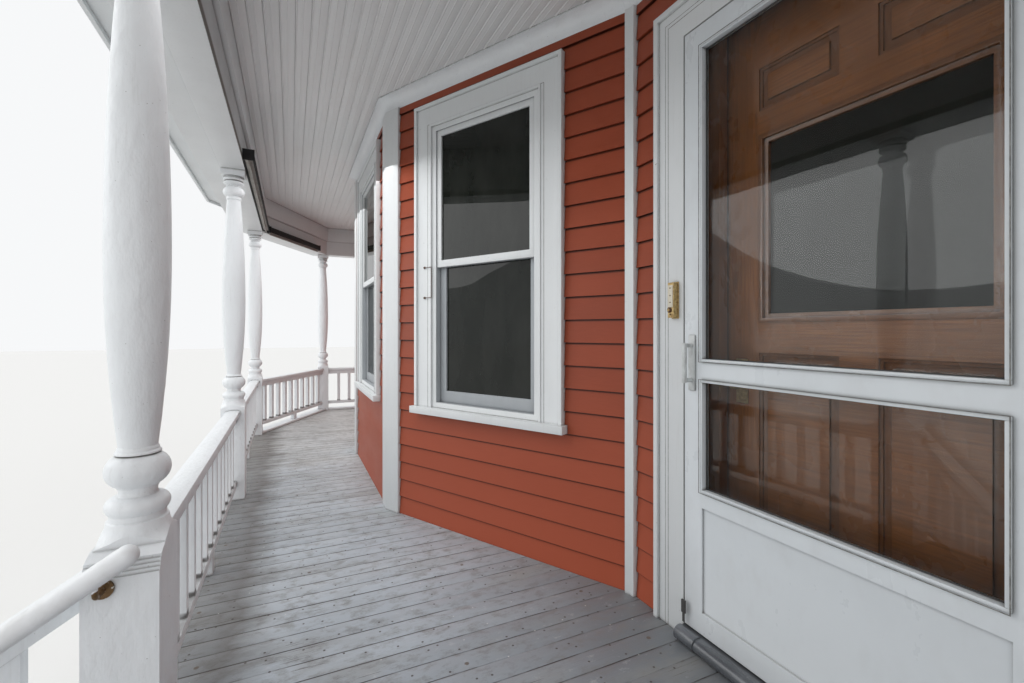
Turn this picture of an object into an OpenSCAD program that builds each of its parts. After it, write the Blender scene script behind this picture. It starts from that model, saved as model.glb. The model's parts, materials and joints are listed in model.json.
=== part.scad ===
// Front porch of a clapboard house with a slanted bay, turned posts and a flight of steps.
// The origin is on the ground, below the middle of the front door, in the plane of the house wall.
// X runs along the wall to the right as seen from the street, Y runs into the house, Z is up.

/* [Levels] */
// Top of the porch floor above the ground
deck_z = 860; // [700:10:1000]
// Ceiling height over the porch floor
ceiling_h = 2490; // [2400:10:2700]
// Underside of the porch beam over the porch floor
soffit_h = 2125; // [2080:5:2250]
// Rise of the roof for each unit of its run
roof_slope = 0.25; // [0.15:0.01:0.35]
// How far the house wall stands up past the top of the porch roof
wall_over_roof = 70; // [30:5:200]

/* [Plan] */
// Depth from the house wall to the line of the front posts
porch_depth = 1630; // [1500:5:1900]
// Stair posts, each side of the middle of the door
stair_post_x = 624; // [600:2:680]
// Near corner post, from the middle of the door
near_corner_x = 1681; // [1500:5:2200]
// From the far stair post to the front post
bay_1_l = 2148; // [1800:5:2400]
// From the front post to the post where the edge turns
bay_2_l = 2072; // [1900:5:2300]
// Length of the slanted side, post to post
slant_l = 1560; // [1500:5:1750]
// Turn of the slanted walls and of the slanted edge
turn_angle = 28.3; // [26:0.1:31]
// Start of the bay, from the middle of the door
bay_start_x = 768; // [700:2:840]
// How far the bay stands out of the wall
bay_depth = 742; // [650:2:800]
// Width of the front of the bay
bay_front_l = 1535; // [1450:5:1600]
// Floor past the line of the posts
deck_over = 100; // [85:5:140]

/* [Walls] */
// Thickness of the framed walls
wall_t = 150; // [120:5:200]
// Thickness of the foundation wall
foundation_t = 200; // [180:5:260]
// Top of the foundation below the porch floor
foundation_drop = 60; // [40:5:120]
// House wall past the end beams
wall_end_over = 60; // [20:5:120]
// Width of the boards on the bay's corners
corner_board_w = 105; // [80:5:120]
// Thickness of corner boards and flat trim on the wall
trim_t = 28; // [22:1:36]
// Side of the strips in the bay's inside corners
corner_strip = 30; // [22:1:40]
// Height and projection of the moulding under the ceiling
crown_size = 74; // [50:2:90]

/* [Windows] */
// Width of a sash opening
window_w = 717; // [600:1:760]
// Width of the window casings
window_casing_w = 130; // [100:5:140]
// Top of the head casing over the porch floor
window_head_h = 2357; // [2250:1:2380]
// Top of the window sill over the porch floor
window_sill_h = 658; // [600:2:760]
// Height of the meeting rails over the porch floor
meeting_rail_h = 1457; // [1350:1:1550]
// Thickness of the window sill
sill_t = 38; // [30:1:50]
// Projection of the window sill
sill_out = 62; // [50:1:80]
// Thickness of the linings of window openings
lining_t = 25; // [18:1:30]
// Width of the fixed frame that the sashes run in
track_w = 30; // [18:1:36]
// Thickness of a sash
sash_t = 26; // [22:1:30]
// Width of the upper sash's stiles and top rail
sash_stile_w = 32; // [26:1:44]
// Width of the lower sash's stiles
lower_stile_w = 44; // [34:1:56]
// Height of the lower sash's bottom rail
sash_bottom_h = 64; // [50:1:80]
// Height of each meeting rail
meeting_rail_t = 38; // [28:1:48]
// Shift of the slanted windows away from the bay's front
window_shift = -34; // [-60:2:20]
// Thickness of glass
glass_t = 5; // [4:1:8]

/* [Door] */
// Width of the storm door
storm_w = 920; // [860:2:940]
// Bottom of the doors over the porch floor
door_bottom_h = 53; // [50:1:60]
// Top of the storm door over the porch floor
storm_top_h = 2127; // [2040:1:2150]
// Thickness of the storm door
storm_t = 32; // [28:1:38]
// Clearance round the doors
door_gap = 6; // [5:0.5:9]
// Width of the door casings
door_casing_w = 142; // [110:2:150]
// Height of the head casing
door_head_w = 134; // [110:2:150]
// Thickness of the door jambs
jamb_t = 24; // [20:1:30]
// Stiles of the storm door
storm_stile_w = 77; // [65:1:90]
// Bottom of the storm door's upper glass over the porch floor
storm_mid_top_h = 981; // [960:1:1000]
// Top of the storm door's lower glass
storm_mid_bottom_h = 920; // [900:1:940]
// Bottom of the storm door's lower glass
storm_low_glass_h = 539; // [520:1:560]
// Top of the storm door's bottom panel
storm_panel_top_h = 483; // [460:1:500]
// Bottom of the storm door's bottom panel
storm_panel_bottom_h = 127; // [110:1:150]
// Thickness of the inner door
front_door_t = 44; // [40:1:48]
// Width of the inner door
front_door_w = 853; // [830:1:880]
// Stiles of the inner door
front_stile_w = 126; // [110:1:150]
// Bottom of the inner door's light over the porch floor
front_glass_bottom_h = 1113; // [1060:1:1150]
// Top of the inner door's light over the porch floor
front_glass_top_h = 1727; // [1640:1:1760]
// Width of the moulding round the inner door's light
light_bead_w = 28; // [20:1:36]
// Height of the rail under the inner door's light
front_low_rail_h = 100; // [80:1:130]
// Height of the rail between the light and the small panels
front_mid_rail_h = 81; // [60:1:100]
// Height of the small panels over the light
front_small_panel_h = 138; // [110:1:150]
// Width of the muntins between the inner door's panels
front_muntin_w = 99; // [70:1:110]
// Height of the inner door's bottom rail
front_bottom_rail_h = 200; // [160:5:240]
// Depth of the inner door's sunk panels
panel_sink = 9; // [6:1:12]
// Height of the door handles over the porch floor
handle_h = 975; // [940:5:1010]
// Radius of the hinge barrels
hinge_r = 6; // [5:0.5:7]
// Radius of the hinge pins
hinge_pin_r = 3; // [2.5:0.25:3.5]
// Length of the hinges
hinge_l = 90; // [70:5:110]
// Thickness of the hinge leaves
hinge_leaf_t = 2.5; // [2:0.25:3]
// Distance of the hinge pins off the face of a door
hinge_off = 8; // [7.5:0.5:9]
// Bottom of the lowest hinge over the bottom of a door
hinge_low_h = 165; // [120:5:200]
// Bottom of the highest hinge below the top of the storm door
hinge_high_drop = 290; // [200:5:320]

/* [Posts] */
// Side of the square blocks of the posts
post_side = 134; // [120:2:138]
// Top of the square block of a post over the porch floor
post_block_h = 588; // [560:2:600]
// Radius of the posts' balls
post_ball_r = 66.5; // [58:0.5:67]
// Largest radius of the posts' shafts
shaft_belly_r = 66.5; // [52:0.5:67]
// Radius of the posts' shafts at both ends
shaft_end_r = 39.5; // [36:0.5:44]
// Height of the shafts' thickest place over the porch floor
shaft_belly_h = 1275; // [1150:5:1350]
// Width of the stair posts' boxes along the front
pedestal_w = 190; // [170:2:200]
// Depth of the stair posts' boxes
pedestal_d = 140; // [138:2:160]
// Height of the stair posts' boxes below their stepped mouldings
pedestal_h = 544; // [520:2:550]
// Number of steps in the mouldings on the stair posts' boxes
pedestal_steps = 4; // [2:1:5]

/* [Rails] */
// Top of the rails over the porch floor
rail_top_h = 575; // [540:5:585]
// Width of the rail cap
rail_cap_w = 79; // [70:1:100]
// Thickness of the rail cap
rail_cap_t = 30; // [22:1:40]
// Width of the rail under the cap
sub_rail_w = 42; // [38:1:56]
// Height of the rail under the cap
sub_rail_h = 50; // [36:1:60]
// Underside of the bottom rail over the porch floor
bottom_rail_h = 84; // [70:2:110]
// Height of the bottom rail
bottom_rail_t = 36; // [28:1:44]
// Side of a baluster
baluster_side = 36; // [28:1:38]
// Largest spacing of the balusters
baluster_pitch = 150; // [100:2:170]
// Thickness of the sill boards under the two far rails
rail_sill_t = 24; // [18:1:30]
// Width of the sill boards under the two far rails
rail_sill_w = 120; // [100:2:130]

/* [Beam and roof] */
// Beam inside of the line of the posts
beam_in = 70; // [69:1:90]
// Beam outside of the line of the posts
beam_out = 195; // [120:5:240]
// Eave past the beam
eave_over = 250; // [150:10:350]
// Height of the eave's underside over the ceiling
eave_rise = 20; // [10:5:60]
// Thickness of the roof's boards and shingles
roof_t = 40; // [30:2:60]
// Thickness of the fascia board
eave_board_t = 20; // [16:1:25]
// Thickness of the boards under the eave
soffit_board_t = 12; // [9:1:18]
// Depth of the fascia board
fascia_d = 95; // [70:5:140]
// Thickness of the ceiling boards
ceiling_t = 18; // [12:1:24]
// Diameter of a rolled shade
shade_d = 54; // [45:1:64]
// Height of the rolled shades over the underside of the beam
shade_up = 8; // [6:1:40]
// Rolled shades short of the post where the edge turns
shade_inset = 60; // [40:5:120]
// How far the front shade reaches past the front post
shade_past_post = 280; // [0:10:400]
// How far the slanted shade ends before the far end post
shade_short = 356; // [60:2:500]

/* [Floor and steps] */
// Thickness of the floor boards
deck_t = 25; // [20:1:38]
// Depth of the floor joists
joist_d = 190; // [140:5:240]
// Thickness of the floor joists
joist_w = 40; // [34:1:50]
// Largest spacing of the floor joists
joist_pitch = 400; // [300:10:500]
// Side of the piers
pier_side = 250; // [200:10:300]
// Number of treads below the porch floor
tread_count = 4; // [3:1:5]
// Run of a step
step_run = 270; // [250:5:300]
// Nosing past a riser
nosing = 25; // [18:1:32]
// Thickness of a tread
tread_t = 38; // [30:1:44]
// Thickness of a riser board
riser_t = 20; // [16:1:25]
// Half width of the treads
tread_half = 645; // [600:5:680]
// Side of the newel posts at the foot of the steps
newel_side = 100; // [90:2:120]
// Height of the newel posts
newel_h = 790; // [740:5:900]
// Sideways place of the sloping rails, from the middle of the door
stair_rail_x = 596; // [585:1:605]
// Sideways place of the round handrails
handrail_x = 450; // [420:5:470]
// Diameter of the round handrails
handrail_d = 45; // [38:1:50]
// Height of the round handrail's upper end over the porch floor
handrail_h = 609; // [580:1:640]
// Height of the sloping rail's upper end over the porch floor
stair_rail_h = 545; // [520:5:570]
// Underside of the sloping bottom rail's upper end over the porch floor
stair_low_rail_h = 110; // [90:5:150]
// Depth of the stringers under the last tread
stringer_d = 240; // [180:5:280]

/* [Hidden] */
$fn = 48;
// Overlap of a cutting shape past the face that it cuts
cut = 2;
// Room behind boards that lie on slanted faces
paint_gap = 0.2;

// Plan of the house wall, from its far end to its near end
slant_run = bay_depth / tan(turn_angle);
far_corner_x = -stair_post_x - bay_1_l - bay_2_l;
far_end_x = far_corner_x - slant_l * cos(turn_angle);
wall_line = [
  [far_end_x - beam_out - wall_end_over, 0],
  [-bay_start_x - 2 * slant_run - bay_front_l, 0],
  [-bay_start_x - slant_run - bay_front_l, -bay_depth],
  [-bay_start_x - slant_run, -bay_depth],
  [-bay_start_x, 0],
  [near_corner_x + beam_out + wall_end_over, 0]
];

// Plan of the line of posts, from the far end of the wall round to its near end
edge_line = [
  [far_end_x, 0],
  [far_end_x, -porch_depth + slant_l * sin(turn_angle)],
  [far_corner_x, -porch_depth],
  [near_corner_x, -porch_depth],
  [near_corner_x, 0]
];
front_post_x = -stair_post_x - bay_1_l;

// Heights above the ground
ceiling_z = deck_z + ceiling_h;
soffit_z = deck_z + soffit_h;
foundation_z = deck_z - foundation_drop;
eave_z = ceiling_z + eave_rise;
wall_top_z = eave_z + (porch_depth + beam_out + eave_over) * roof_slope + roof_t * 1.1 + wall_over_roof;
bay_top_z = ceiling_z + ceiling_t;
bay_lid_t = 30;
rail_cap_z = deck_z + rail_top_h;

// Door opening
jamb_x = storm_w / 2 + door_gap;
rough_x = jamb_x + jamb_t;
head_z = deck_z + storm_top_h + door_gap;
rough_z = head_z + jamb_t;
door_z = deck_z + door_bottom_h;
storm_y = -trim_t - 2;
casing_t = -storm_y;
front_door_y = wall_t - front_door_t;
front_half_w = jamb_x - door_gap - 1;
front_free_x = front_half_w - front_door_w;
hinge_x = jamb_x - door_gap / 2;
hinge_leaf_w = 22;
pin_gap = 0.3;
storm_hinge_y = storm_y - hinge_off;
front_hinge_y = wall_t + hinge_off;

// Windows
window_head_z = deck_z + window_head_h - window_casing_w;
window_sill_z = deck_z + window_sill_h;
meeting_z = deck_z + meeting_rail_h;
// Front of the upper sash and of the lower sash, from the wall's face
upper_sash_y = -trim_t + 14;
lower_sash_y = upper_sash_y + sash_t + 2;

// Heights of the posts' turnings over the porch floor
flare_h = post_block_h + 46;
base_ring_h = post_block_h + 80;
low_neck_h = post_block_h + 106;
ball_h = post_block_h + 163;
collar_h = post_block_h + 203;
shaft_foot_h = post_block_h + 220;
shaft_top_h = soffit_h - 190;
bulb_h = soffit_h - 137;
top_neck_h = soffit_h - 98;
ring_1_h = soffit_h - 80;
ring_2_h = soffit_h - 57;
abacus_h = soffit_h - 39;

// Steps
riser_h = deck_z / (tread_count + 1);
deck_front_y = -porch_depth - deck_over;
rim_out = deck_over - nosing;
newel_y = deck_front_y - tread_count * step_run - nosing - newel_side / 2;
pedestal_y = -porch_depth - (pedestal_d - post_side) / 2;
// Slope at the top of a stair post's box, and the run of a step of the moulding below it
pedestal_slope_t = 12;
pedestal_step_in = 5;
stair_slope = riser_h / step_run;

// Unit vector along v
function unit(v) = v / norm(v);

// Street side of a direction in plan
function street(v) = [v.y, -v.x];

// Direction of stretch i of plan line p
function along(p, i) = unit(p[i + 1] - p[i]);

// Corner i of plan line p, moved d towards the street and mitred
function corner(p, i, d) =
  let (a = street(along(p, max(i - 1, 0))), b = street(along(p, min(i, len(p) - 2))))
  p[i] + d * (a + b) / (1 + a * b);

// Plan of stretch i of line p, between the distances d0 and d1
function strip(p, i, d0, d1) =
  [corner(p, i, d0), corner(p, i + 1, d0), corner(p, i + 1, d1), corner(p, i, d1)];

// All corners of line p, moved d towards the street
function shifted(p, d) = [for (i = [0:len(p) - 1]) corner(p, i, d)];

// List l from its end to its start
function backwards(l) = [for (i = [len(l) - 1:-1:0]) l[i]];

// Points of an arc in a profile, round [r, z], from angle a0 to a1
function arc(r, z, radius, a0, a1, steps) =
  [for (i = [0:steps]) let (a = a0 + (a1 - a0) * i / steps) [r + radius * cos(a), z + radius * sin(a)]];

// A board along stretch i of plan line p
module band(p, i, d0, d1, z0, z1) {
  translate([0, 0, z0])
    linear_extrude(z1 - z0)
      polygon(strip(p, i, d0, d1));
}

// Puts its children on stretch i of plan line p: x along it, y into the house
module on_run(p, i) {
  d = along(p, i);
  translate([p[i].x, p[i].y, 0])
    rotate([0, 0, atan2(d.y, d.x)])
      children();
}

// Length of stretch i of plan line p
function run_length(p, i) = norm(p[i + 1] - p[i]);

// A box with opposite corners a and b
module box(a, b) {
  translate(a)
    cube(b - a);
}

// House walls

// Foundation wall under the house
module house_foundation() {
  color("gray")
    for (i = [0:len(wall_line) - 2])
      band(wall_line, i, 0, -foundation_t, 0, foundation_z);
}

// Wall on the near side of the door
module wall_near() {
  color("sienna")
    box([rough_x, 0, foundation_z], [wall_line[5].x, wall_t, wall_top_z]);
}

// Narrow wall between the door and the bay
module wall_beside_door() {
  inner = corner(wall_line, 4, -wall_t);
  color("sienna")
    translate([0, 0, foundation_z])
      linear_extrude(bay_top_z - foundation_z)
        polygon([wall_line[4], [-rough_x, 0], [-rough_x, wall_t], inner]);
}

// Wall over the door
module wall_over_door() {
  color("sienna")
    union() {
      box([-rough_x, 0, rough_z], [rough_x, wall_t, wall_top_z]);
      box([-rough_x, 0, foundation_z], [rough_x, wall_t, deck_z]);
    }
}

// One wall of the bay, with its window opening
module bay_wall(i) {
  color("sienna")
    difference() {
      band(wall_line, i, 0, -wall_t, foundation_z, bay_top_z);
      at_window(i)
        window_hole();
    }
}

// Wall past the bay
module wall_far() {
  inner = corner(wall_line, 1, -wall_t);
  color("sienna")
    translate([0, 0, foundation_z])
      linear_extrude(bay_top_z - foundation_z)
        polygon([wall_line[0], wall_line[1], inner, [wall_line[0].x, wall_t]]);
}

// Wall over the bay and past it, above the ceiling
module bay_header() {
  color("sienna")
    box([wall_line[0].x, 0, bay_top_z + bay_lid_t], [-rough_x, wall_t, wall_top_z]);
}

// Floor inside the bay
module bay_floor() {
  inside = [for (i = [1:4]) corner(wall_line, i, -wall_t)];
  back = [[inside[3].x, foundation_t], [inside[0].x, foundation_t]];
  color("burlywood")
    translate([0, 0, foundation_z])
      linear_extrude(deck_z - foundation_z + door_bottom_h)
        polygon(concat(inside, back));
}

// Boards over the bay's walls and along the wall, which carry the wall above
module bay_ceiling() {
  color("gainsboro")
    translate([0, 0, bay_top_z])
      linear_extrude(bay_lid_t)
        polygon([
          wall_line[0], wall_line[1], wall_line[2], wall_line[3], wall_line[4],
          [-rough_x, 0], [-rough_x, wall_t], [wall_line[0].x, wall_t]
        ]);
}

// Boards on the outside corners of the bay and strips in its inside corners
module corner_trim() {
  color("white")
    translate([0, 0, deck_z])
      linear_extrude(ceiling_h - crown_size)
        difference() {
          union() {
            for (i = [2, 3])
              corner_board_plan(i, corner_board_w, trim_t);
            for (i = [1, 4])
              corner_board_plan(i, corner_strip, corner_strip);
          }
          polygon(concat(shifted(wall_line, paint_gap), backwards(shifted(wall_line, -wall_t))));
        }
}

// Plan of a pair of boards w wide and t thick that meet at corner i of the wall
module corner_board_plan(i, w, t) {
  a = along(wall_line, i - 1);
  b = along(wall_line, i);
  p = wall_line[i];
  polygon([
    p, p - a * w, p - a * w + street(a) * t,
    corner(wall_line, i, t), p + b * w + street(b) * t,
    p + b * w
  ]);
}

// Profile of the moulding under the ceiling: x is out of the wall, y is up
function crown_profile() =
  let (s = crown_size, foot = s * 0.16)
  concat(
    [[0, 0], [foot, 0], [foot, foot]],
    arc(s * 0.86, foot, s * 0.7, 180, 96, 5),
    [[s, s * 0.86], [s, s], [0, s]]
  );

// Moulding where the walls meet the ceiling
module crown_moulding() {
  color("white")
    for (i = [0:len(wall_line) - 2])
      crown_run(i);
}

// One stretch of the moulding, mitred at the corners of the wall
module crown_run(i) {
  l = run_length(wall_line, i);
  beam_inside = corner(edge_line, i == 0 ? 0 : 4, -beam_in).x;
  intersection() {
    on_run(wall_line, i)
      translate([-crown_size * 2, 0, ceiling_z - crown_size])
        rotate([90, 0, 90])
          mirror([1, 0, 0])
            linear_extrude(l + crown_size * 4)
              polygon(crown_profile());
    band(wall_line, i, 0, crown_size, ceiling_z - crown_size, ceiling_z);
    if (i == 0)
      box([beam_inside, -crown_size * 2, 0], [0, crown_size, wall_top_z]);
    if (i == len(wall_line) - 2)
      box([-bay_start_x * 2, -crown_size * 2, 0], [beam_inside, crown_size, wall_top_z]);
    if (i > 0 && i < len(wall_line) - 2)
      box([wall_line[0].x, -porch_depth, 0], [0, crown_size, wall_top_z]);
  }
}

// Windows

// Puts its children at the middle of the window of stretch i
module at_window(i) {
  side = i == 2 ? 0 : (i == 3 ? 1 : -1);
  on_run(wall_line, i)
    translate([run_length(wall_line, i) / 2 + side * window_shift, 0, 0])
      children();
}

// Hole in the wall for a window with its linings
module window_hole() {
  half = window_w / 2 + lining_t;
  box([-half, -cut, window_sill_z - lining_t], [half, wall_t + cut, window_head_z + lining_t]);
}

// Casings, linings and sill of a window
module window_frame() {
  half = window_w / 2;
  outer = half + window_casing_w;
  band_w = 18;
  band_out = 12;
  bead_w = 12;
  bead_out = 5;
  track_y = -trim_t + 6;
  horn = 16;
  top_z = window_head_z + window_casing_w;
  color("white")
    difference() {
      union() {
        box([-outer, -trim_t, window_sill_z], [outer, 0, top_z]);
        for (s = [-1, 1])
          translate([s * (outer - band_w / 2) - band_w / 2, -trim_t - band_out, window_sill_z])
            cube([band_w, band_out + cut, top_z - window_sill_z]);
        box([-outer, -trim_t - band_out, top_z - band_w], [outer, -cut, top_z]);
        box([-half - bead_w, -trim_t - bead_out, window_sill_z], [half + bead_w, 0, window_head_z + bead_w]);
        box([-half - lining_t, 0, window_sill_z - lining_t],
            [half + lining_t, wall_t, window_head_z + lining_t]);
        box([-outer - horn, -sill_out, window_sill_z - sill_t], [outer + horn, 0, window_sill_z]);
      }
      box([-half, -sill_out, window_sill_z], [half, track_y, window_head_z]);
      box([-half + track_w, track_y - cut, window_sill_z + track_w],
          [half - track_w, lower_sash_y + sash_t + cut, window_head_z - track_w]);
      box([-half, lower_sash_y + sash_t, window_sill_z], [half, wall_t + cut, window_head_z]);
    }
}

// A sash with its rails, between two heights
module sash(y, z0, z1, stile, bottom_h, top_h) {
  half = window_w / 2 - track_w;
  difference() {
    box([-half, y, z0], [half, y + sash_t, z1]);
    box([-half + stile, y - cut, z0 + bottom_h], [half - stile, y + sash_t + cut, z1 - top_h]);
  }
}

// Both sashes of one window
module sash_pair() {
  low = window_sill_z + track_w;
  high = window_head_z - track_w;
  sash(upper_sash_y, meeting_z - meeting_rail_t / 2, high, sash_stile_w, meeting_rail_t, sash_stile_w);
  sash(lower_sash_y, low, meeting_z + meeting_rail_t / 2, lower_stile_w, sash_bottom_h, meeting_rail_t);
}

// Glass of both sashes of one window
module pane_pair() {
  half = window_w / 2 - track_w;
  mid = (sash_t - glass_t) / 2;
  box([-half + sash_stile_w, upper_sash_y + mid, meeting_z + meeting_rail_t / 2],
      [half - sash_stile_w, upper_sash_y + mid + glass_t, window_head_z - track_w - sash_stile_w]);
  box([-half + lower_stile_w, lower_sash_y + mid, window_sill_z + track_w + sash_bottom_h],
      [half - lower_stile_w, lower_sash_y + mid + glass_t, meeting_z - meeting_rail_t / 2]);
}

// Sashes of all the windows
module window_sashes() {
  color("whitesmoke")
    for (i = [1:3])
      at_window(i)
        sash_pair();
}

// Glass of all the windows
module window_glass() {
  color("darkslategray")
    for (i = [1:3])
      at_window(i)
        pane_pair();
}

// Doors

// Casings, jambs and stops round the doorway
module door_frame() {
  outer_x = jamb_x + door_casing_w;
  top_z = head_z + door_head_w;
  band_w = 20;
  band_out = 12;
  stop_t = 13;
  // Depth of the stop on the free side of the inner door, well behind the storm door's latch
  inner_stop_d = 40;
  stop_y0 = storm_y + storm_t + door_gap;
  stop_y1 = front_door_y - door_gap;
  color("white")
    union() {
      difference() {
        union() {
          box([-outer_x, storm_y, deck_z], [outer_x, 0, top_z]);
          for (s = [-1, 1])
            translate([s * (outer_x - band_w / 2) - band_w / 2, storm_y - band_out, deck_z])
              cube([band_w, casing_t + band_out, top_z - deck_z]);
          box([-outer_x, storm_y - band_out, top_z - band_w], [outer_x, 0, top_z]);
          box([-rough_x, 0, deck_z], [rough_x, wall_t, rough_z]);
        }
        box([-jamb_x, storm_y - band_out - cut, deck_z - cut], [jamb_x, wall_t + cut, head_z]);
      }
      box([jamb_x - stop_t, stop_y0, door_z], [jamb_x, stop_y1, head_z]);
      box([-jamb_x, stop_y0, door_z], [stop_t - jamb_x, stop_y1, head_z]);
      box([-jamb_x, stop_y1 - inner_stop_d, door_z], [front_free_x + stop_t - door_gap - 1, stop_y1, head_z]);
      box([-jamb_x, stop_y1 - inner_stop_d, door_z], [front_free_x - door_gap - 1, wall_t, head_z]);
      box([-jamb_x, stop_y0, head_z - stop_t], [jamb_x, stop_y1, head_z]);
    }
}

// Rounded threshold under both doors
module threshold() {
  top = door_bottom_h - door_gap - 1;
  nose_r = top / 2;
  nose_y = storm_y - nose_r;
  color("slategray")
    union() {
      box([-jamb_x, nose_y, deck_z], [jamb_x, wall_t, deck_z + top]);
      translate([-jamb_x, nose_y, deck_z + nose_r])
        rotate([0, 90, 0])
          cylinder(h = 2 * jamb_x, r = nose_r);
    }
}

// Door bell on the far casing
module doorbell() {
  off_jamb = 38;
  bell_h = 1196;
  push_out = 6;
  x = -jamb_x - off_jamb;
  z = deck_z + bell_h;
  plate_w = 40;
  plate_h = 127;
  plate_t = 4;
  color("goldenrod")
    union() {
      box([x - plate_w / 2, storm_y - plate_t, z - plate_h / 2],
          [x + plate_w / 2, storm_y, z + plate_h / 2]);
      translate([x, storm_y - plate_t + cut, z])
        rotate([90, 0, 0])
          cylinder(h = cut + push_out, d = 26);
      translate([x, storm_y - plate_t - push_out / 2, z])
        rotate([90, 0, 0])
          cylinder(h = push_out, d = 14);
    }
}

// Heights of the undersides of a door's hinges
function hinge_heights() =
  let (low = door_z + hinge_low_h, high = deck_z + storm_top_h - hinge_high_drop)
  [low, (low + high) / 2, high];

// A hinge's half on the frame: pin, two knuckles and the leaf, for a pin at depth y
module frame_hinge(y, side, z) {
  face_y = y - side * hinge_off;
  third = hinge_l / 3;
  translate([hinge_x, y, z])
    cylinder(h = hinge_l, r = hinge_pin_r);
  for (up = [0, 2 * third]) {
    translate([hinge_x, y, z + up])
      cylinder(h = third - pin_gap, r = hinge_r);
    box([hinge_x + hinge_pin_r, min(face_y, y), z + up],
        [jamb_x + hinge_leaf_t, max(face_y, y), z + up + third - pin_gap]);
    hinge_leaf(hinge_x + hinge_pin_r, jamb_x + hinge_leaf_w, face_y, side, z + up, third - pin_gap);
  }
  hinge_leaf(hinge_x + hinge_r + hinge_pin_r, jamb_x + hinge_leaf_w, face_y, side, z, hinge_l - pin_gap);
}

// A hinge's half on a door: the middle knuckle round the pin and the leaf
module door_hinge(y, side, z) {
  face_y = y - side * hinge_off;
  third = hinge_l / 3;
  difference() {
    union() {
      translate([hinge_x, y, z + third])
        cylinder(h = third - pin_gap, r = hinge_r);
      box([hinge_x - hinge_r, min(face_y, y), z + third], [hinge_x, max(face_y, y), z + 2 * third - pin_gap]);
      hinge_leaf(hinge_x - hinge_leaf_w, hinge_x - hinge_r, face_y, side, z + third, third - pin_gap);
      hinge_leaf(hinge_x - hinge_leaf_w, hinge_x - 2 * hinge_r, face_y, side, z, hinge_l - pin_gap);
    }
    translate([hinge_x, y, z])
      cylinder(h = hinge_l, r = hinge_pin_r + pin_gap);
  }
}

// A hinge's plate on a face, from x0 to x1
module hinge_leaf(x0, x1, face_y, side, z, h) {
  box([x0, min(face_y, face_y + side * hinge_leaf_t), z], [x1, max(face_y, face_y + side * hinge_leaf_t), z + h]);
}

// Halves of both doors' hinges on the frame
module door_hinges() {
  color("silver")
    for (z = hinge_heights()) {
      frame_hinge(storm_hinge_y, -1, z);
      frame_hinge(front_hinge_y, 1, z);
    }
}

// Storm door: frame, middle rail and bottom panel
module storm_door() {
  half = storm_w / 2;
  top_z = deck_z + storm_top_h;
  glass_x = half - storm_stile_w;
  panel_in = 10;
  color("white") {
    for (z = hinge_heights())
      door_hinge(storm_hinge_y, -1, z);
    difference() {
      box([-half, storm_y, door_z], [half, storm_y + storm_t, top_z]);
      box([-glass_x, storm_y - cut, deck_z + storm_mid_top_h],
          [glass_x, storm_y + storm_t + cut, top_z - storm_stile_w]);
      box([-glass_x, storm_y - cut, deck_z + storm_low_glass_h],
          [glass_x, storm_y + storm_t + cut, deck_z + storm_mid_bottom_h]);
      for (y = [storm_y - cut, storm_y + storm_t - panel_in + cut])
        box([-glass_x, y, deck_z + storm_panel_bottom_h],
            [glass_x, y + panel_in, deck_z + storm_panel_top_h]);
    }
  }
}

// The two panes of the storm door
module storm_door_glass() {
  glass_x = storm_w / 2 - storm_stile_w;
  y = storm_y + (storm_t - glass_t) / 2;
  color("lightblue") {
    box([-glass_x, y, deck_z + storm_mid_top_h],
        [glass_x, y + glass_t, deck_z + storm_top_h - storm_stile_w]);
    box([-glass_x, y, deck_z + storm_low_glass_h], [glass_x, y + glass_t, deck_z + storm_mid_bottom_h]);
  }
}

// Pull handle and latch of the storm door
module storm_door_handle() {
  x = -storm_w / 2 + 36;
  z = deck_z + handle_h;
  grip_h = 120;
  reach = 38;
  color("silver")
    union() {
      box([x - 14, storm_y - 5, z - 95], [x + 14, storm_y, z + 95]);
      for (s = [-1, 1])
        translate([x, storm_y - 3, z + s * grip_h / 2])
          rotate([90, 0, 0])
            cylinder(h = reach - 3, d = 14);
      translate([x, storm_y - reach, z - grip_h / 2 - 8])
        cylinder(h = grip_h + 16, d = 17);
      box([x - 8, storm_y + storm_t, z - 60], [x + 8, storm_y + storm_t + 12, z + 60]);
    }
}

// A sunk panel of the inner door with its stepped edge and raised field, cut on both faces
module sunk_panel(x0, x1, z0, z1) {
  lip = 28;
  ledge_w = 9;
  ledge_sink = panel_sink / 2;
  field_sink = 3;
  for (side = [0, 1])
    difference() {
      union() {
        translate([x0, side == 0 ? front_door_y - cut : wall_t - ledge_sink, z0])
          cube([x1 - x0, ledge_sink + cut, z1 - z0]);
        translate([x0 + ledge_w, side == 0 ? front_door_y - cut : wall_t - panel_sink, z0 + ledge_w])
          cube([x1 - x0 - 2 * ledge_w, panel_sink + cut, z1 - z0 - 2 * ledge_w]);
      }
      translate([x0 + lip, side == 0 ? front_door_y + field_sink : front_door_y, z0 + lip])
        cube([x1 - x0 - 2 * lip, front_door_t - field_sink, z1 - z0 - 2 * lip]);
    }
}

// A box through the inner door round its light, d inside the edge and y0 to y1 deep
module light_box(d, y0, y1) {
  box([front_free_x + front_stile_w + d, y0, deck_z + front_glass_bottom_h + d],
      [front_half_w - front_stile_w - d, y1, deck_z + front_glass_top_h - d]);
}

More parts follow.
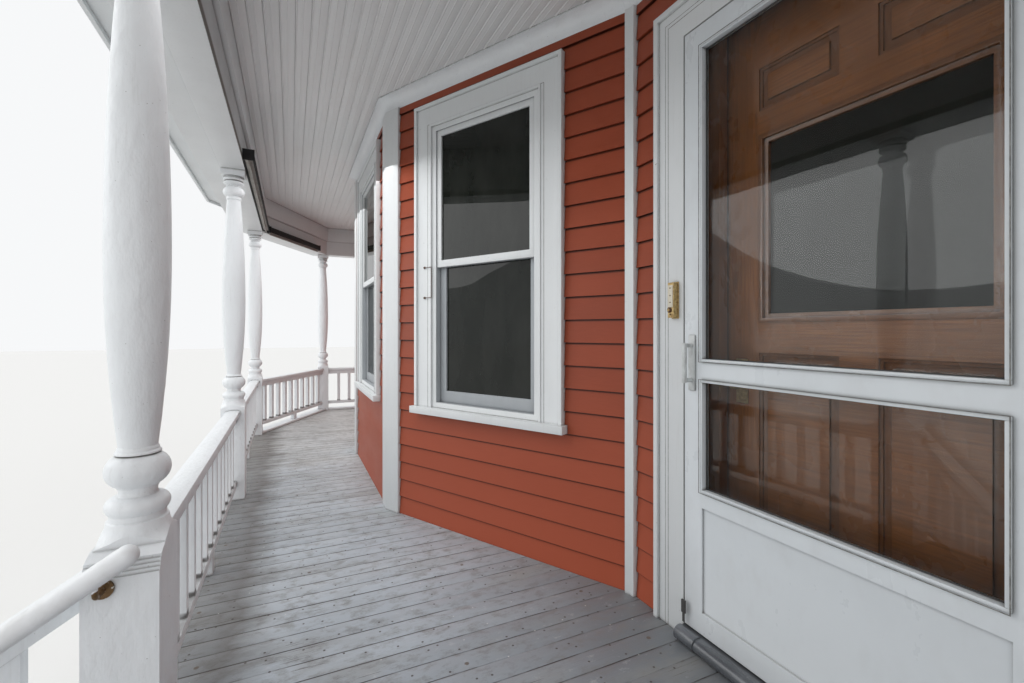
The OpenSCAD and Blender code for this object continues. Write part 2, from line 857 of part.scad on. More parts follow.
// Inner door with a large light, two small panels above it and two below
module front_door() {
  panel_x0 = front_free_x + front_stile_w;
  panel_x1 = front_half_w - front_stile_w;
  mid_x = (panel_x0 + panel_x1) / 2;
  small_z = deck_z + front_glass_top_h + front_mid_rail_h;
  low_z1 = deck_z + front_glass_bottom_h - front_low_rail_h;
  bead_out = 5;
  bead_in = 6;
  color("peru")
    union() {
      difference() {
        box([front_free_x, front_door_y, door_z], [front_half_w, wall_t, head_z - door_gap - 1]);
        light_box(0, front_door_y - cut, wall_t + cut);
        for (x = [[panel_x0, mid_x - front_muntin_w / 2], [mid_x + front_muntin_w / 2, panel_x1]]) {
          sunk_panel(x[0], x[1], small_z, small_z + front_small_panel_h);
          sunk_panel(x[0], x[1], door_z + front_bottom_rail_h, low_z1);
        }
      }
      difference() {
        union() {
          light_box(0, front_door_y + bead_in, wall_t - bead_in);
          difference() {
            light_box(0, front_door_y - bead_out, wall_t + bead_out - 2);
            light_box(light_bead_w / 2, front_door_y - bead_out - cut, wall_t + bead_out + cut);
          }
        }
        light_box(light_bead_w, front_door_y - bead_out - cut, wall_t + bead_out + cut);
      }
    }
}

// Glass of the inner door
module front_door_glass() {
  y = front_door_y + (front_door_t - glass_t) / 2;
  color("lightblue")
    light_box(light_bead_w, y, y + glass_t);
}

// Knobs, plates and hinge leaves of the inner door
module front_door_hardware() {
  x = front_free_x + 62;
  z = deck_z + handle_h - 60;
  plate_t = 3;
  profile = concat(
    [[0, 0], [11, 0], [9, 12], [9, 20]],
    arc(9, 34, 18, -50, 62, 7),
    [[0, 54]]
  );
  color("goldenrod") {
    for (z = hinge_heights())
      door_hinge(front_hinge_y, 1, z);
    for (side = [0, 1]) {
      y = side == 0 ? front_door_y : wall_t;
      box([x - 22, side == 0 ? y - plate_t : y, z - 75], [x + 22, side == 0 ? y : y + plate_t, z + 75]);
      translate([x, side == 0 ? y - plate_t : y + plate_t, z])
        rotate([side == 0 ? 90 : -90, 0, 0])
          rotate_extrude()
            polygon(profile);
    }
  }
}

// Floor

// Places of the piers: below each post, drawn in from the edge of the floor
function pier_places() =
  let (d = rim_out - pier_side / 2, turned = 1 + tan(turn_angle))
  concat(
    [corner(edge_line, 1, d * turned), corner(edge_line, 2, d * turned), corner(edge_line, 3, d)],
    [for (x = [front_post_x, -stair_post_x, stair_post_x]) [x, -porch_depth - d]]
  );

// Piers under the posts
module porch_piers() {
  color("firebrick")
    for (p = pier_places())
      translate([p.x - pier_side / 2, p.y - pier_side / 2, 0])
        cube([pier_side, pier_side, deck_z - deck_t - joist_d]);
}

// Joists and rim boards under the floor
module deck_frame() {
  z0 = deck_z - deck_t - joist_d;
  z1 = deck_z - deck_t;
  bars = ceil(porch_depth / joist_pitch);
  inside = concat(shifted(edge_line, rim_out - joist_w), backwards(wall_line_inner()));
  color("tan")
    union() {
      for (i = [0:len(edge_line) - 2])
        band(edge_line, i, rim_out - joist_w, rim_out, z0, z1);
      intersection() {
        translate([0, 0, z0])
          linear_extrude(joist_d)
            polygon(inside);
        for (k = [0:bars - 1])
          box([wall_line[0].x, -joist_w - k * porch_depth / bars, z0],
              [wall_line[5].x, -k * porch_depth / bars, z1]);
      }
    }
}

// The bends of the house wall, from the far side to the near side
function wall_line_inner() = [for (i = [1:4]) wall_line[i]];

// Plan of the floor, the ceiling or another sheet that fills the porch out to distance d
module porch_plan(d) {
  polygon(concat(shifted(edge_line, d), backwards(wall_line_inner())));
}

// Floor boards
module deck() {
  color("lightslategray")
    translate([0, 0, deck_z - deck_t])
      linear_extrude(deck_t)
        porch_plan(deck_over);
}

// A panel of upright boards between two rails, from x0 to x1 along a run
module skirt_panel(x0, x1, y) {
  top_z = deck_z - deck_t - joist_d;
  board_t = 18;
  board_w = 92;
  rail_h = 80;
  count = floor((x1 - x0) / (board_w + 16));
  pitch = (x1 - x0 - board_w) / count;
  for (z = [30, top_z - rail_h])
    box([x0, y, z], [x1, y + board_t + 10, z + rail_h]);
  for (k = [0:count])
    translate([x0 + k * pitch, y - board_t + 10, 30])
      cube([board_w, board_t, top_z - 30]);
}

// Skirt between the piers
module skirt_panels() {
  depth_in = 20 - rim_out;
  past_pier = pier_side * 0.75;
  wall_gap = 5;
  color("white") {
    on_run(edge_line, 0)
      skirt_panel(wall_gap, run_length(edge_line, 0) - past_pier, depth_in);
    on_run(edge_line, 1)
      skirt_panel(past_pier, run_length(edge_line, 1) - past_pier, depth_in);
    on_run(edge_line, 2) {
      skirt_panel(past_pier, bay_2_l - pier_side / 2, depth_in);
      skirt_panel(bay_2_l + pier_side / 2, bay_2_l + bay_1_l - pier_side / 2, depth_in);
      skirt_panel(bay_2_l + bay_1_l + 2 * stair_post_x + pier_side / 2,
                  run_length(edge_line, 2) - past_pier, depth_in);
    }
    on_run(edge_line, 3)
      skirt_panel(past_pier, run_length(edge_line, 3) - wall_gap, depth_in);
  }
}

// Steps

// Height of the top of tread k, and its front edge
function tread_z(k) = riser_h * k;
function tread_y(k) = deck_front_y - (tread_count + 1 - k) * step_run;

// Treads of the steps
module stair_treads() {
  color("lightslategray")
    for (k = [1:tread_count])
      box([-tread_half, tread_y(k), tread_z(k) - tread_t],
          [tread_half, tread_y(k + 1) + nosing, tread_z(k)]);
}

// Risers of the steps
module stair_risers() {
  color("white")
    for (k = [1:tread_count])
      box([-tread_half + 20, tread_y(k) + nosing, tread_z(k - 1)],
          [tread_half - 20, tread_y(k) + nosing + riser_t, tread_z(k) - tread_t]);
}

// Saw-tooth stringers that carry the treads
module stair_stringers() {
  back_y = deck_front_y + nosing;
  steps = [for (k = [1:tread_count]) each [
    [tread_y(k) + nosing + riser_t, k == 1 ? 0 : tread_z(k - 1) - tread_t],
    [tread_y(k) + nosing + riser_t, tread_z(k) - tread_t]
  ]];
  color("white")
    for (x = [-tread_half + 30, 0, tread_half - 30])
      translate([x - joist_w / 2, 0, 0])
        rotate([90, 0, 90])
          linear_extrude(joist_w)
            polygon(concat(steps, [
              [back_y, tread_z(tread_count) - tread_t],
              [back_y, tread_z(tread_count) - tread_t - stringer_d],
              [tread_y(2) + nosing, 0]
            ]));
}

// Square newel posts at the foot of the steps
module stair_newels() {
  cap_over = 12;
  cap_h = 24;
  color("white")
    for (s = [-1, 1])
      translate([s * stair_rail_x, newel_y, 0]) {
        translate([-newel_side / 2, -newel_side / 2, 0])
          cube([newel_side, newel_side, newel_h - cap_h]);
        translate([-newel_side / 2 - cap_over, -newel_side / 2 - cap_over, newel_h - cap_h])
          cube([newel_side + 2 * cap_over, newel_side + 2 * cap_over, cap_h]);
      }
}

// Section of a rail's cap, with its top sloped to both sides
module cap_section() {
  flat = rail_cap_w * 0.3;
  wash = 5;
  polygon([
    [-rail_cap_w / 2, -rail_cap_t], [rail_cap_w / 2, -rail_cap_t],
    [rail_cap_w / 2, -wash], [flat / 2, 0], [-flat / 2, 0], [-rail_cap_w / 2, -wash]
  ]);
}

// A board of width w that follows the steps' slope, with its underside at z0 and top at z1
module sloping_board(w, z0, z1) {
  y1 = pedestal_y - pedestal_d / 2;
  y0 = newel_y + newel_side / 2;
  drop = (y1 - y0) * stair_slope;
  translate([-w / 2, 0, 0])
    rotate([90, 0, 90])
      linear_extrude(w)
        polygon([[y0, z0 - drop], [y1, z0], [y1, z1], [y0, z1 - drop]]);
}

// Sloping rails with square balusters
module stair_rails() {
  y1 = pedestal_y - pedestal_d / 2;
  y0 = newel_y + newel_side / 2;
  top = deck_z + stair_rail_h;
  low = deck_z + stair_low_rail_h;
  count = ceil((y1 - y0) / baluster_pitch) - 1;
  color("white")
    for (s = [-1, 1])
      translate([s * stair_rail_x, 0, 0]) {
        sloping_board(rail_cap_w, top - rail_cap_t, top);
        sloping_board(sub_rail_w, top - rail_cap_t - sub_rail_h, top - rail_cap_t);
        sloping_board(sub_rail_w, low, low + bottom_rail_t + 8);
        intersection() {
          for (k = [1:count])
            translate([-baluster_side / 2, y0 + (y1 - y0) * k / (count + 1) - baluster_side / 2, 0])
              cube([baluster_side, baluster_side, top]);
          sloping_board(baluster_side, low + bottom_rail_t, top - rail_cap_t - sub_rail_h + cut);
        }
      }
}

// Round handrails with a bracket at each end
module stair_handrails() {
  r = handrail_d / 2;
  past_box = 21;
  before_middle = 30;
  past_newel = 105;
  top = [past_box - porch_depth, deck_z + handrail_h];
  foot_y = newel_y - past_newel;
  foot = [foot_y, top.y - (top.x - foot_y) * stair_slope];
  run = norm(top - foot);
  pitch = atan2(top.y - foot.y, top.x - foot.x);
  color("white")
    for (s = [-1, 1]) {
      x = s * handrail_x;
      translate([x, foot.x, foot.y])
        rotate([pitch - 90, 0, 0])
          union() {
            cylinder(h = run, r = r);
            sphere(r = r);
            translate([0, 0, run])
              sphere(r = r);
          }
      handrail_bracket(s, pedestal_y - before_middle, top, s * (stair_rail_x - pedestal_w / 2));
      handrail_bracket(s, newel_y, top, s * (stair_rail_x - newel_side / 2));
    }
}

// Bracket from the face at x_wall to the underside of a handrail, at depth y
module handrail_bracket(s, y, top, x_wall) {
  drop = 26;
  z = top.y - (top.x - y) * stair_slope - handrail_d / 2 - drop;
  reach = abs(x_wall - s * handrail_x);
  rod_r = 6;
  bend_r = min(reach, drop) - rod_r;
  rose_r = 20;
  rose_t = 6;
  translate([x_wall, y, z])
    rotate([0, 0, s > 0 ? 180 : 0])
      union() {
        rotate([0, 90, 0])
          cylinder(h = rose_t, r = rose_r);
        rotate([0, 90, 0])
          cylinder(h = reach - bend_r, r = rod_r);
        translate([reach - bend_r, 0, bend_r])
          rotate([90, 0, 0])
            rotate([0, 0, -90])
              rotate_extrude(angle = 90)
                translate([bend_r, 0])
                  circle(r = rod_r);
        translate([reach, 0, bend_r])
          cylinder(h = drop - bend_r + rod_r, r = rod_r);
      }
}

// Posts

// Turned profile of a post above its block, as [radius, height over the porch floor]
function post_profile() =
  let (
    flare_r = 62,
    ring_r = 65.5,
    neck_r = 39,
    bulb_r = 62.5,
    top_ring_r = 60
  )
  concat(
    [[0, post_block_h - cut], [flare_r + 45, post_block_h - cut]],
    arc(flare_r + 45, flare_h, 45, 270, 180, 6),
    [[flare_r - 5, flare_h + 4], [flare_r - 5, flare_h + 9]],
    arc(ring_r - 22, base_ring_h, 22, -52, 84, 8),
    [[neck_r + 2, low_neck_h - 2], [neck_r, low_neck_h + 2], [neck_r, low_neck_h + 10]],
    arc(post_ball_r - 42, ball_h, 42, -64, 66, 10),
    [[neck_r + 8, collar_h], [neck_r + 8, collar_h + 3]],
    [[neck_r + 3.5, collar_h + 8], [neck_r + 3.5, collar_h + 12]],
    shaft_points(shaft_foot_h, shaft_top_h, 16),
    [[shaft_end_r + 4, shaft_top_h + 4], [shaft_end_r + 4, shaft_top_h + 10]],
    arc(bulb_r - 33, bulb_h, 33, -66, 66, 8),
    arc(neck_r + 9, top_neck_h, 7, 235, 125, 3),
    arc(top_ring_r - 8.5, ring_1_h, 8.5, -80, 80, 5),
    [[top_ring_r - 11, ring_1_h + 10], [top_ring_r - 11, ring_1_h + 12]],
    arc(top_ring_r - 9, ring_2_h, 9, -80, 80, 5),
    [[top_ring_r - 6, ring_2_h + 11], [top_ring_r - 6, abacus_h + cut], [0, abacus_h + cut]]
  );

// Points of the shaft, thickest at its belly, which thins as the square of the distance from it
function shaft_points(z0, z1, steps) = [
  for (i = [0:steps])
    let (
      z = z0 + (z1 - z0) * i / steps,
      away = z < shaft_belly_h ? (shaft_belly_h - z) / (shaft_belly_h - z0) : (z - shaft_belly_h) / (z1 - shaft_belly_h)
    )
    [shaft_belly_r - (shaft_belly_r - shaft_end_r) * away * away, z]
];

// A square block of the post's size between two heights
module post_block(z0, z1) {
  translate([-post_side / 2, -post_side / 2, z0])
    cube([post_side, post_side, z1 - z0]);
}

// A turned post on a square block, with turned shoulders
module turned_post() {
  color("white")
    translate([0, 0, deck_z])
      union() {
        post_block(0, post_block_h);
        intersection() {
          rotate_extrude()
            polygon(post_profile());
          post_block(post_block_h - cut, soffit_h);
        }
        post_block(abacus_h, soffit_h);
      }
}

// Section of a stair post's box: stepped mouldings on the stair side, then a slope up to the post
module pedestal_section() {
  rise = (post_block_h - pedestal_slope_t - pedestal_h) / pedestal_steps;
  half = pedestal_w / 2;
  steps = [for (k = [0:pedestal_steps - 1]) each [
    [-half + k * pedestal_step_in, pedestal_h + k * rise],
    [-half + (k + 1) * pedestal_step_in, pedestal_h + k * rise]
  ]];
  polygon(concat(
    [[half, post_block_h], [half, 0], [-half, 0]],
    steps,
    [
      [-half + pedestal_steps * pedestal_step_in, post_block_h - pedestal_slope_t],
      [half - post_side, post_block_h]
    ]
  ));
}

// A turned post in the box that also carries the rails of the steps, on the near side of the steps
module stair_post() {
  box_x = stair_rail_x - stair_post_x;
  box_y = pedestal_y + porch_depth;
  color("white")
    translate([stair_post_x, -porch_depth, deck_z])
      union() {
        translate([box_x, box_y + pedestal_d / 2, 0])
          rotate([90, 0, 0])
            linear_extrude(pedestal_d)
              pedestal_section();
        intersection() {
          rotate_extrude()
            polygon(post_profile());
          post_block(pedestal_h, soffit_h);
        }
        post_block(abacus_h, soffit_h);
      }
}

// Puts a turned post at a point of the plan, turned by an angle
module post_at(p, angle) {
  translate([p.x, p.y, 0])
    rotate([0, 0, angle])
      turned_post();
}

// Rails

// A rail between two faces, l apart along x; its middle block stands foot_z over the floor
module rail_panel(l, foot_z = 0) {
  sub_z = rail_cap_z - rail_cap_t - sub_rail_h;
  low_z = deck_z + bottom_rail_h;
  count = ceil(l / baluster_pitch) - 1;
  foot = 60;
  color("white")
    union() {
      translate([0, 0, rail_cap_z])
        rotate([90, 0, 90])
          linear_extrude(l)
            cap_section();
      box([0, -sub_rail_w / 2, sub_z], [l, sub_rail_w / 2, rail_cap_z - rail_cap_t]);
      box([0, -sub_rail_w / 2, low_z], [l, sub_rail_w / 2, low_z + bottom_rail_t]);
      for (k = [1:count])
        translate([l * k / (count + 1) - baluster_side / 2, -baluster_side / 2, low_z + bottom_rail_t])
          cube([baluster_side, baluster_side, sub_z - low_z - bottom_rail_t]);
      box([l / 2 - foot / 2, -sub_rail_w / 2, deck_z + foot_z],
          [l / 2 + foot / 2, sub_rail_w / 2, low_z]);
    }
}

// A rail with the sill board under it
module rail_on_sill(l) {
  rail_panel(l, rail_sill_t);
  color("white")
    box([0, -rail_sill_w / 2, deck_z + paint_gap], [l, rail_sill_w / 2, deck_z + rail_sill_t]);
}

// Slanted rail, notched round the posts at its ends
module rail_slanted() {
  inset = post_side * 0.2;
  color("white")
    difference() {
      on_run(edge_line, 1)
        translate([inset, 0, 0])
          rail_on_sill(slant_l - 2 * inset);
      for (p = [edge_line[1], edge_line[2]])
        translate([p.x - post_side / 2 - paint_gap, p.y - post_side / 2 - paint_gap, deck_z - cut])
          cube([post_side + 2 * paint_gap, post_side + 2 * paint_gap, rail_top_h + 2 * cut]);
    }
}

// Beam and roof

// Everything over the slope of the roof that rises from the eaves at height z
module over_slopes(z) {
  reach = porch_depth * 4;
  for (i = [0:len(edge_line) - 2])
    on_run(shifted(edge_line, beam_out + eave_over), i)
      translate([0, 0, z])
        rotate([atan(roof_slope), 0, 0])
          translate([-reach, -porch_depth, 0])
            cube([reach * 3, reach * 1.5, reach]);
}

// Plan of a board along the whole line of the posts, between the distances d0 and d1
module edge_ring(d0, d1) {
  polygon(concat(shifted(edge_line, d1), backwards(shifted(edge_line, d0))));
}

// Beam over the posts, which carries the roof on its outer edge, with a step outside of the posts
module porch_beam() {
  step_up = 14;
  top_z = eave_z + eave_over * roof_slope;
  color("white")
    union() {
      translate([0, 0, soffit_z])
        linear_extrude(top_z - soffit_z)
          edge_ring(-beam_in, beam_in);
      translate([0, 0, soffit_z + step_up])
        linear_extrude(top_z - soffit_z - step_up)
          edge_ring(0, beam_out);
    }
}

// Ceiling of beaded boards
module porch_ceiling() {
  color("gainsboro")
    translate([0, 0, ceiling_z])
      linear_extrude(ceiling_t)
        porch_plan(-beam_in);
}

// Hipped roof that leans on the house wall
module roof() {
  top_up = roof_t / cos(atan(roof_slope));
  color("dimgray")
    difference() {
      intersection() {
        translate([0, 0, eave_z - cut])
          linear_extrude(wall_top_z - eave_z)
            polygon(shifted(edge_line, beam_out + eave_over));
        over_slopes(eave_z);
      }
      over_slopes(eave_z + top_up);
    }
}

// Fascia and boarded soffit of the eave
module eave_trim() {
  outer = beam_out + eave_over;
  z0 = eave_z - fascia_d;
  soffit_up = 25;
  color("white")
    union() {
      translate([0, 0, z0])
        linear_extrude(fascia_d)
          edge_ring(outer - eave_board_t, outer);
      translate([0, 0, z0 + soffit_up])
        linear_extrude(soffit_board_t)
          edge_ring(beam_out, outer - eave_board_t);
    }
}

// A rolled shade from x0 to x1 along stretch i, on the inner face of the beam
module shade(i, x0, x1) {
  r = shade_d / 2;
  end_t = 6;
  z = soffit_z + r + shade_up;
  on_run(edge_line, i)
    translate([0, beam_in, 0])
      union() {
        translate([x0, r + 6, z])
          rotate([0, 90, 0])
            cylinder(h = x1 - x0, r = r);
        for (x = [x0, x1 - end_t])
          translate([x, 0, z - r - 6])
            cube([end_t, shade_d + 12, shade_d + 12]);
        box([x0 + 30, r - 2, z - r - 34], [x1 - 30, r + 12, z - r + 6]);
      }
}

// Rolled-up shades along the inside of the beam
module roller_shades() {
  color("black") {
    shade(1, shade_short, slant_l - shade_inset);
    shade(2, shade_inset, bay_2_l + shade_past_post);
  }
}

house_foundation();
wall_near();
wall_beside_door();
wall_over_door();
bay_wall(3);  // bay_wall_near
bay_wall(2);  // bay_wall_front
bay_wall(1);  // bay_wall_far
wall_far();
bay_header();
bay_floor();
bay_ceiling();
corner_trim();
crown_moulding();
at_window(3) window_frame();  // window_near_frame
at_window(2) window_frame();  // window_front_frame
at_window(1) window_frame();  // window_far_frame
window_sashes();
window_glass();
door_frame();
threshold();
doorbell();
door_hinges();
storm_door();
storm_door_glass();
storm_door_handle();
front_door();
front_door_glass();
front_door_hardware();
porch_piers();
deck_frame();
deck();
skirt_panels();
stair_stringers();
stair_risers();
stair_treads();
stair_newels();
stair_rails();
stair_handrails();
post_at(edge_line[3], 0);  // post_near_corner
stair_post();  // post_stair_near
mirror([1, 0, 0]) stair_post();  // post_stair_far
post_at([front_post_x, -porch_depth], 0);  // post_front
post_at(edge_line[2], 0);  // post_turn
post_at(edge_line[1], 0);  // post_far_end
on_run(edge_line, 3)  // rail_near_end
    translate([post_side / 2, 0, 0])
      rail_panel(porch_depth - post_side / 2);
translate([stair_rail_x + pedestal_w / 2, -porch_depth, 0])  // rail_near_front
    rail_panel(near_corner_x - post_side / 2 - stair_rail_x - pedestal_w / 2);
translate([front_post_x + post_side / 2, -porch_depth, 0])  // rail_front_1
    rail_panel(-front_post_x - post_side / 2 - stair_rail_x - pedestal_w / 2);
translate([far_corner_x + post_side / 2, -porch_depth, 0])  // rail_front_2
    rail_panel(bay_2_l - post_side);
rail_slanted();
on_run(edge_line, 0)  // rail_far_end
    rail_on_sill(run_length(edge_line, 0) - post_side / 2);
porch_beam();
roller_shades();
porch_ceiling();
roof();
eave_trim();
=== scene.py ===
"""Dresses the front porch: boards, shingles, bricks, turned posts, doors, windows and their finishes."""
import json
import math
import random

import bmesh
import bpy
from bpy.props import FloatProperty, FloatVectorProperty, PointerProperty
from mathutils import Matrix, Vector

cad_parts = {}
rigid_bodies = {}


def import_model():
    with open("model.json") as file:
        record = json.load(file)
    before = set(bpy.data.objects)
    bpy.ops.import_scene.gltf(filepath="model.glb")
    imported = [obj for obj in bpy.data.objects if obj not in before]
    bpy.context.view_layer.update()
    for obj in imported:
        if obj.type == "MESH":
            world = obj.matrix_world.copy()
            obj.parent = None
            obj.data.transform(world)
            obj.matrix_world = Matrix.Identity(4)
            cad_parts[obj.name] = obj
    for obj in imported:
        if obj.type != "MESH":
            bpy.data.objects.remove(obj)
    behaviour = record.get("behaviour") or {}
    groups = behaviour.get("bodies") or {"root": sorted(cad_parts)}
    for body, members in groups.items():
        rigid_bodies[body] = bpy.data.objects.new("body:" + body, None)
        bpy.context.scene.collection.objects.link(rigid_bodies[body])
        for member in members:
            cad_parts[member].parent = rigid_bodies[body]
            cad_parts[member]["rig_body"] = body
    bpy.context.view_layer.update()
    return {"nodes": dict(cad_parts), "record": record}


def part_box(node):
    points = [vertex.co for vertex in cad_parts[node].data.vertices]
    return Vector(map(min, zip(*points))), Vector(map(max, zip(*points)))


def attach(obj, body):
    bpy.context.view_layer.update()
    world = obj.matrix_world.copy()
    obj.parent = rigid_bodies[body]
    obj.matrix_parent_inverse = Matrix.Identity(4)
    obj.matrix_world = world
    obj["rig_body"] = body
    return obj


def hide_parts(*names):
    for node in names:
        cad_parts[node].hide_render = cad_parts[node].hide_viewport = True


bl_info = {
    "name": "Front porch",
    "version": (1, 0, 0),
    "blender": (4, 5, 0),
    "location": "View3D > Sidebar > Porch",
    "description": "Builds the visible boards, trim, doors and finishes of a clapboard porch",
    "category": "Object",
}

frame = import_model()

# Plan of the house, read from the frame
TURN = math.radians(28.3)
SIZES = {node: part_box(node) for node in frame["nodes"]}


def side(node, axis, high):
    """One coordinate of a CAD node's box."""
    return SIZES[node][1 if high else 0]["xyz".index(axis)]


def middle(node):
    """Middle of a CAD node's box."""
    low, high = SIZES[node]
    return (low + high) / 2


DECK_Z = side("deck", "z", True)
DECK_T = DECK_Z - side("deck", "z", False)
CEILING_Z = side("porch_ceiling", "z", False)
CEILING_T = side("porch_ceiling", "z", True) - CEILING_Z
BAY_Y = side("bay_wall_front", "y", False)
BAY_NEAR_X = side("bay_wall_front", "x", True)
BAY_FAR_X = side("bay_wall_front", "x", False)
SLANT_RUN = -BAY_Y / math.tan(TURN)
WALL_LINE = [
    Vector((side("wall_far", "x", False), 0)),
    Vector((BAY_FAR_X - SLANT_RUN, 0)),
    Vector((BAY_FAR_X, BAY_Y)),
    Vector((BAY_NEAR_X, BAY_Y)),
    Vector((BAY_NEAR_X + SLANT_RUN, 0)),
    Vector((side("wall_near", "x", True), 0)),
]
POSTS = ["post_far_end", "post_turn", "post_near_corner"]
EDGE_LINE = (
    [Vector((middle("post_far_end").x, 0))]
    + [middle(post).xy for post in POSTS]
    + [Vector((middle("post_near_corner").x, 0))]
)
DECK_OVER = side("deck", "x", True) - EDGE_LINE[-1].x
WINDOWS = {1: "window_far_frame", 2: "window_front_frame", 3: "window_near_frame"}
# Sizes that the source of the solids gives too
BEAM_IN = 0.07
CASING_W = 0.13
SILL_T = 0.038
CASING_OUT = 0.028
ROOF_UP = 0.0412
PIER_W = 0.25
STILE_W = 0.126
# Start of every row of random numbers
SEED = 11


# Settings


class PorchBoards(bpy.types.PropertyGroup):
    """Sizes of the boards, shingles and bricks."""

    course: FloatProperty(
        name="Clapboard course", description="Height of clapboard to the weather",
        default=0.1033, unit="LENGTH")
    butt: FloatProperty(
        name="Clapboard butt", description="How far a clapboard's lower edge stands out of the wall",
        default=0.015, unit="LENGTH")
    lap_gap: FloatProperty(
        name="Lap shadow", description="Height of the dark line under each clapboard",
        default=0.003, unit="LENGTH")
    floor_board: FloatProperty(
        name="Floor board", description="Width of a floor board with its gap",
        default=0.0865, unit="LENGTH")
    floor_gap: FloatProperty(
        name="Floor gap", description="Gap between two floor boards",
        default=0.0005, unit="LENGTH")
    ceiling_board: FloatProperty(
        name="Ceiling board", description="Width of a ceiling board with its joint",
        default=0.0654, unit="LENGTH")
    ceiling_joint: FloatProperty(
        name="First ceiling joint", description="Distance of the outermost joint from the house wall",
        default=1.537, unit="LENGTH")
    ceiling_bead: FloatProperty(
        name="Ceiling bead", description="Radius of the bead along each ceiling board",
        default=0.0036, unit="LENGTH")
    frieze: FloatProperty(
        name="Frieze board", description="Height of the board between the beam and the ceiling",
        default=0.18, unit="LENGTH")
    shingle: FloatProperty(
        name="Shingle course", description="Height of shingle to the weather",
        default=0.14, unit="LENGTH")
    edge: FloatProperty(
        name="Eased edge", description="Rounding of the edges of the painted trim",
        default=0.002, unit="LENGTH")


class PorchColours(bpy.types.PropertyGroup):
    """Colours of the paints."""

    siding: FloatVectorProperty(
        name="Siding", description="Brick red paint of the clapboards",
        subtype="COLOR", size=3, min=0, max=1, default=(0.285, 0.056, 0.023))
    trim: FloatVectorProperty(
        name="Trim", description="White paint of the flat trim and the eave",
        subtype="COLOR", size=3, min=0, max=1, default=(0.690, 0.715, 0.725))
    posts: FloatVectorProperty(
        name="Posts", description="White paint of the posts, rails and steps",
        subtype="COLOR", size=3, min=0, max=1, default=(0.800, 0.828, 0.850))
    deck: FloatVectorProperty(
        name="Floor", description="Blue grey paint of the floor and the treads",
        subtype="COLOR", size=3, min=0, max=1, default=(0.485, 0.538, 0.592))
    ceiling: FloatVectorProperty(
        name="Ceiling", description="Pale paint of the ceiling boards",
        subtype="COLOR", size=3, min=0, max=1, default=(0.790, 0.795, 0.800))
    varnish: FloatVectorProperty(
        name="Varnish", description="Varnished wood of the inner door",
        subtype="COLOR", size=3, min=0, max=1, default=(0.350, 0.130, 0.040))
    ground: FloatVectorProperty(
        name="Ground", description="Plain ground under the porch",
        subtype="COLOR", size=3, min=0, max=1, default=(0.80, 0.80, 0.79))


class PorchStage(bpy.types.PropertyGroup):
    """Light and camera."""

    sky: FloatProperty(
        name="Sky", description="Strength of the even light from all round", default=0.92)
    sun: FloatProperty(
        name="Key light", description="Strength of the soft key light", default=0.80)
    fill: FloatProperty(
        name="Fill light", description="Strength of the soft lamp over the porch floor", default=28.0)
    end: FloatProperty(
        name="End light", description="Strength of the soft light from the near end", default=0.54)
    lens: FloatProperty(
        name="Lens", description="Focal length of the camera in millimetres", default=16.7)


# Nodes


class Socket:
    """An output of a node, on which Python's arithmetic adds the matching maths nodes."""

    def __init__(self, net, link):
        self.net = net
        self.link = link

    def of(self, name):
        """Another output of the same node."""
        return Socket(self.net, self.link.node.outputs[name])

    def __add__(self, other):
        return self.net.maths("ADD", self, other)

    def __sub__(self, other):
        return self.net.maths("SUBTRACT", self, other)

    def __rsub__(self, other):
        return self.net.maths("SUBTRACT", other, self)

    def __mul__(self, other):
        return self.net.maths("MULTIPLY", self, other)

    def __truediv__(self, other):
        return self.net.maths("DIVIDE", self, other)

    def __lt__(self, other):
        return self.net.maths("LESS_THAN", self, other)

    def __gt__(self, other):
        return self.net.maths("GREATER_THAN", self, other)

    def __abs__(self):
        return self.net.maths("ABSOLUTE", self)

    __radd__ = __add__
    __rmul__ = __mul__


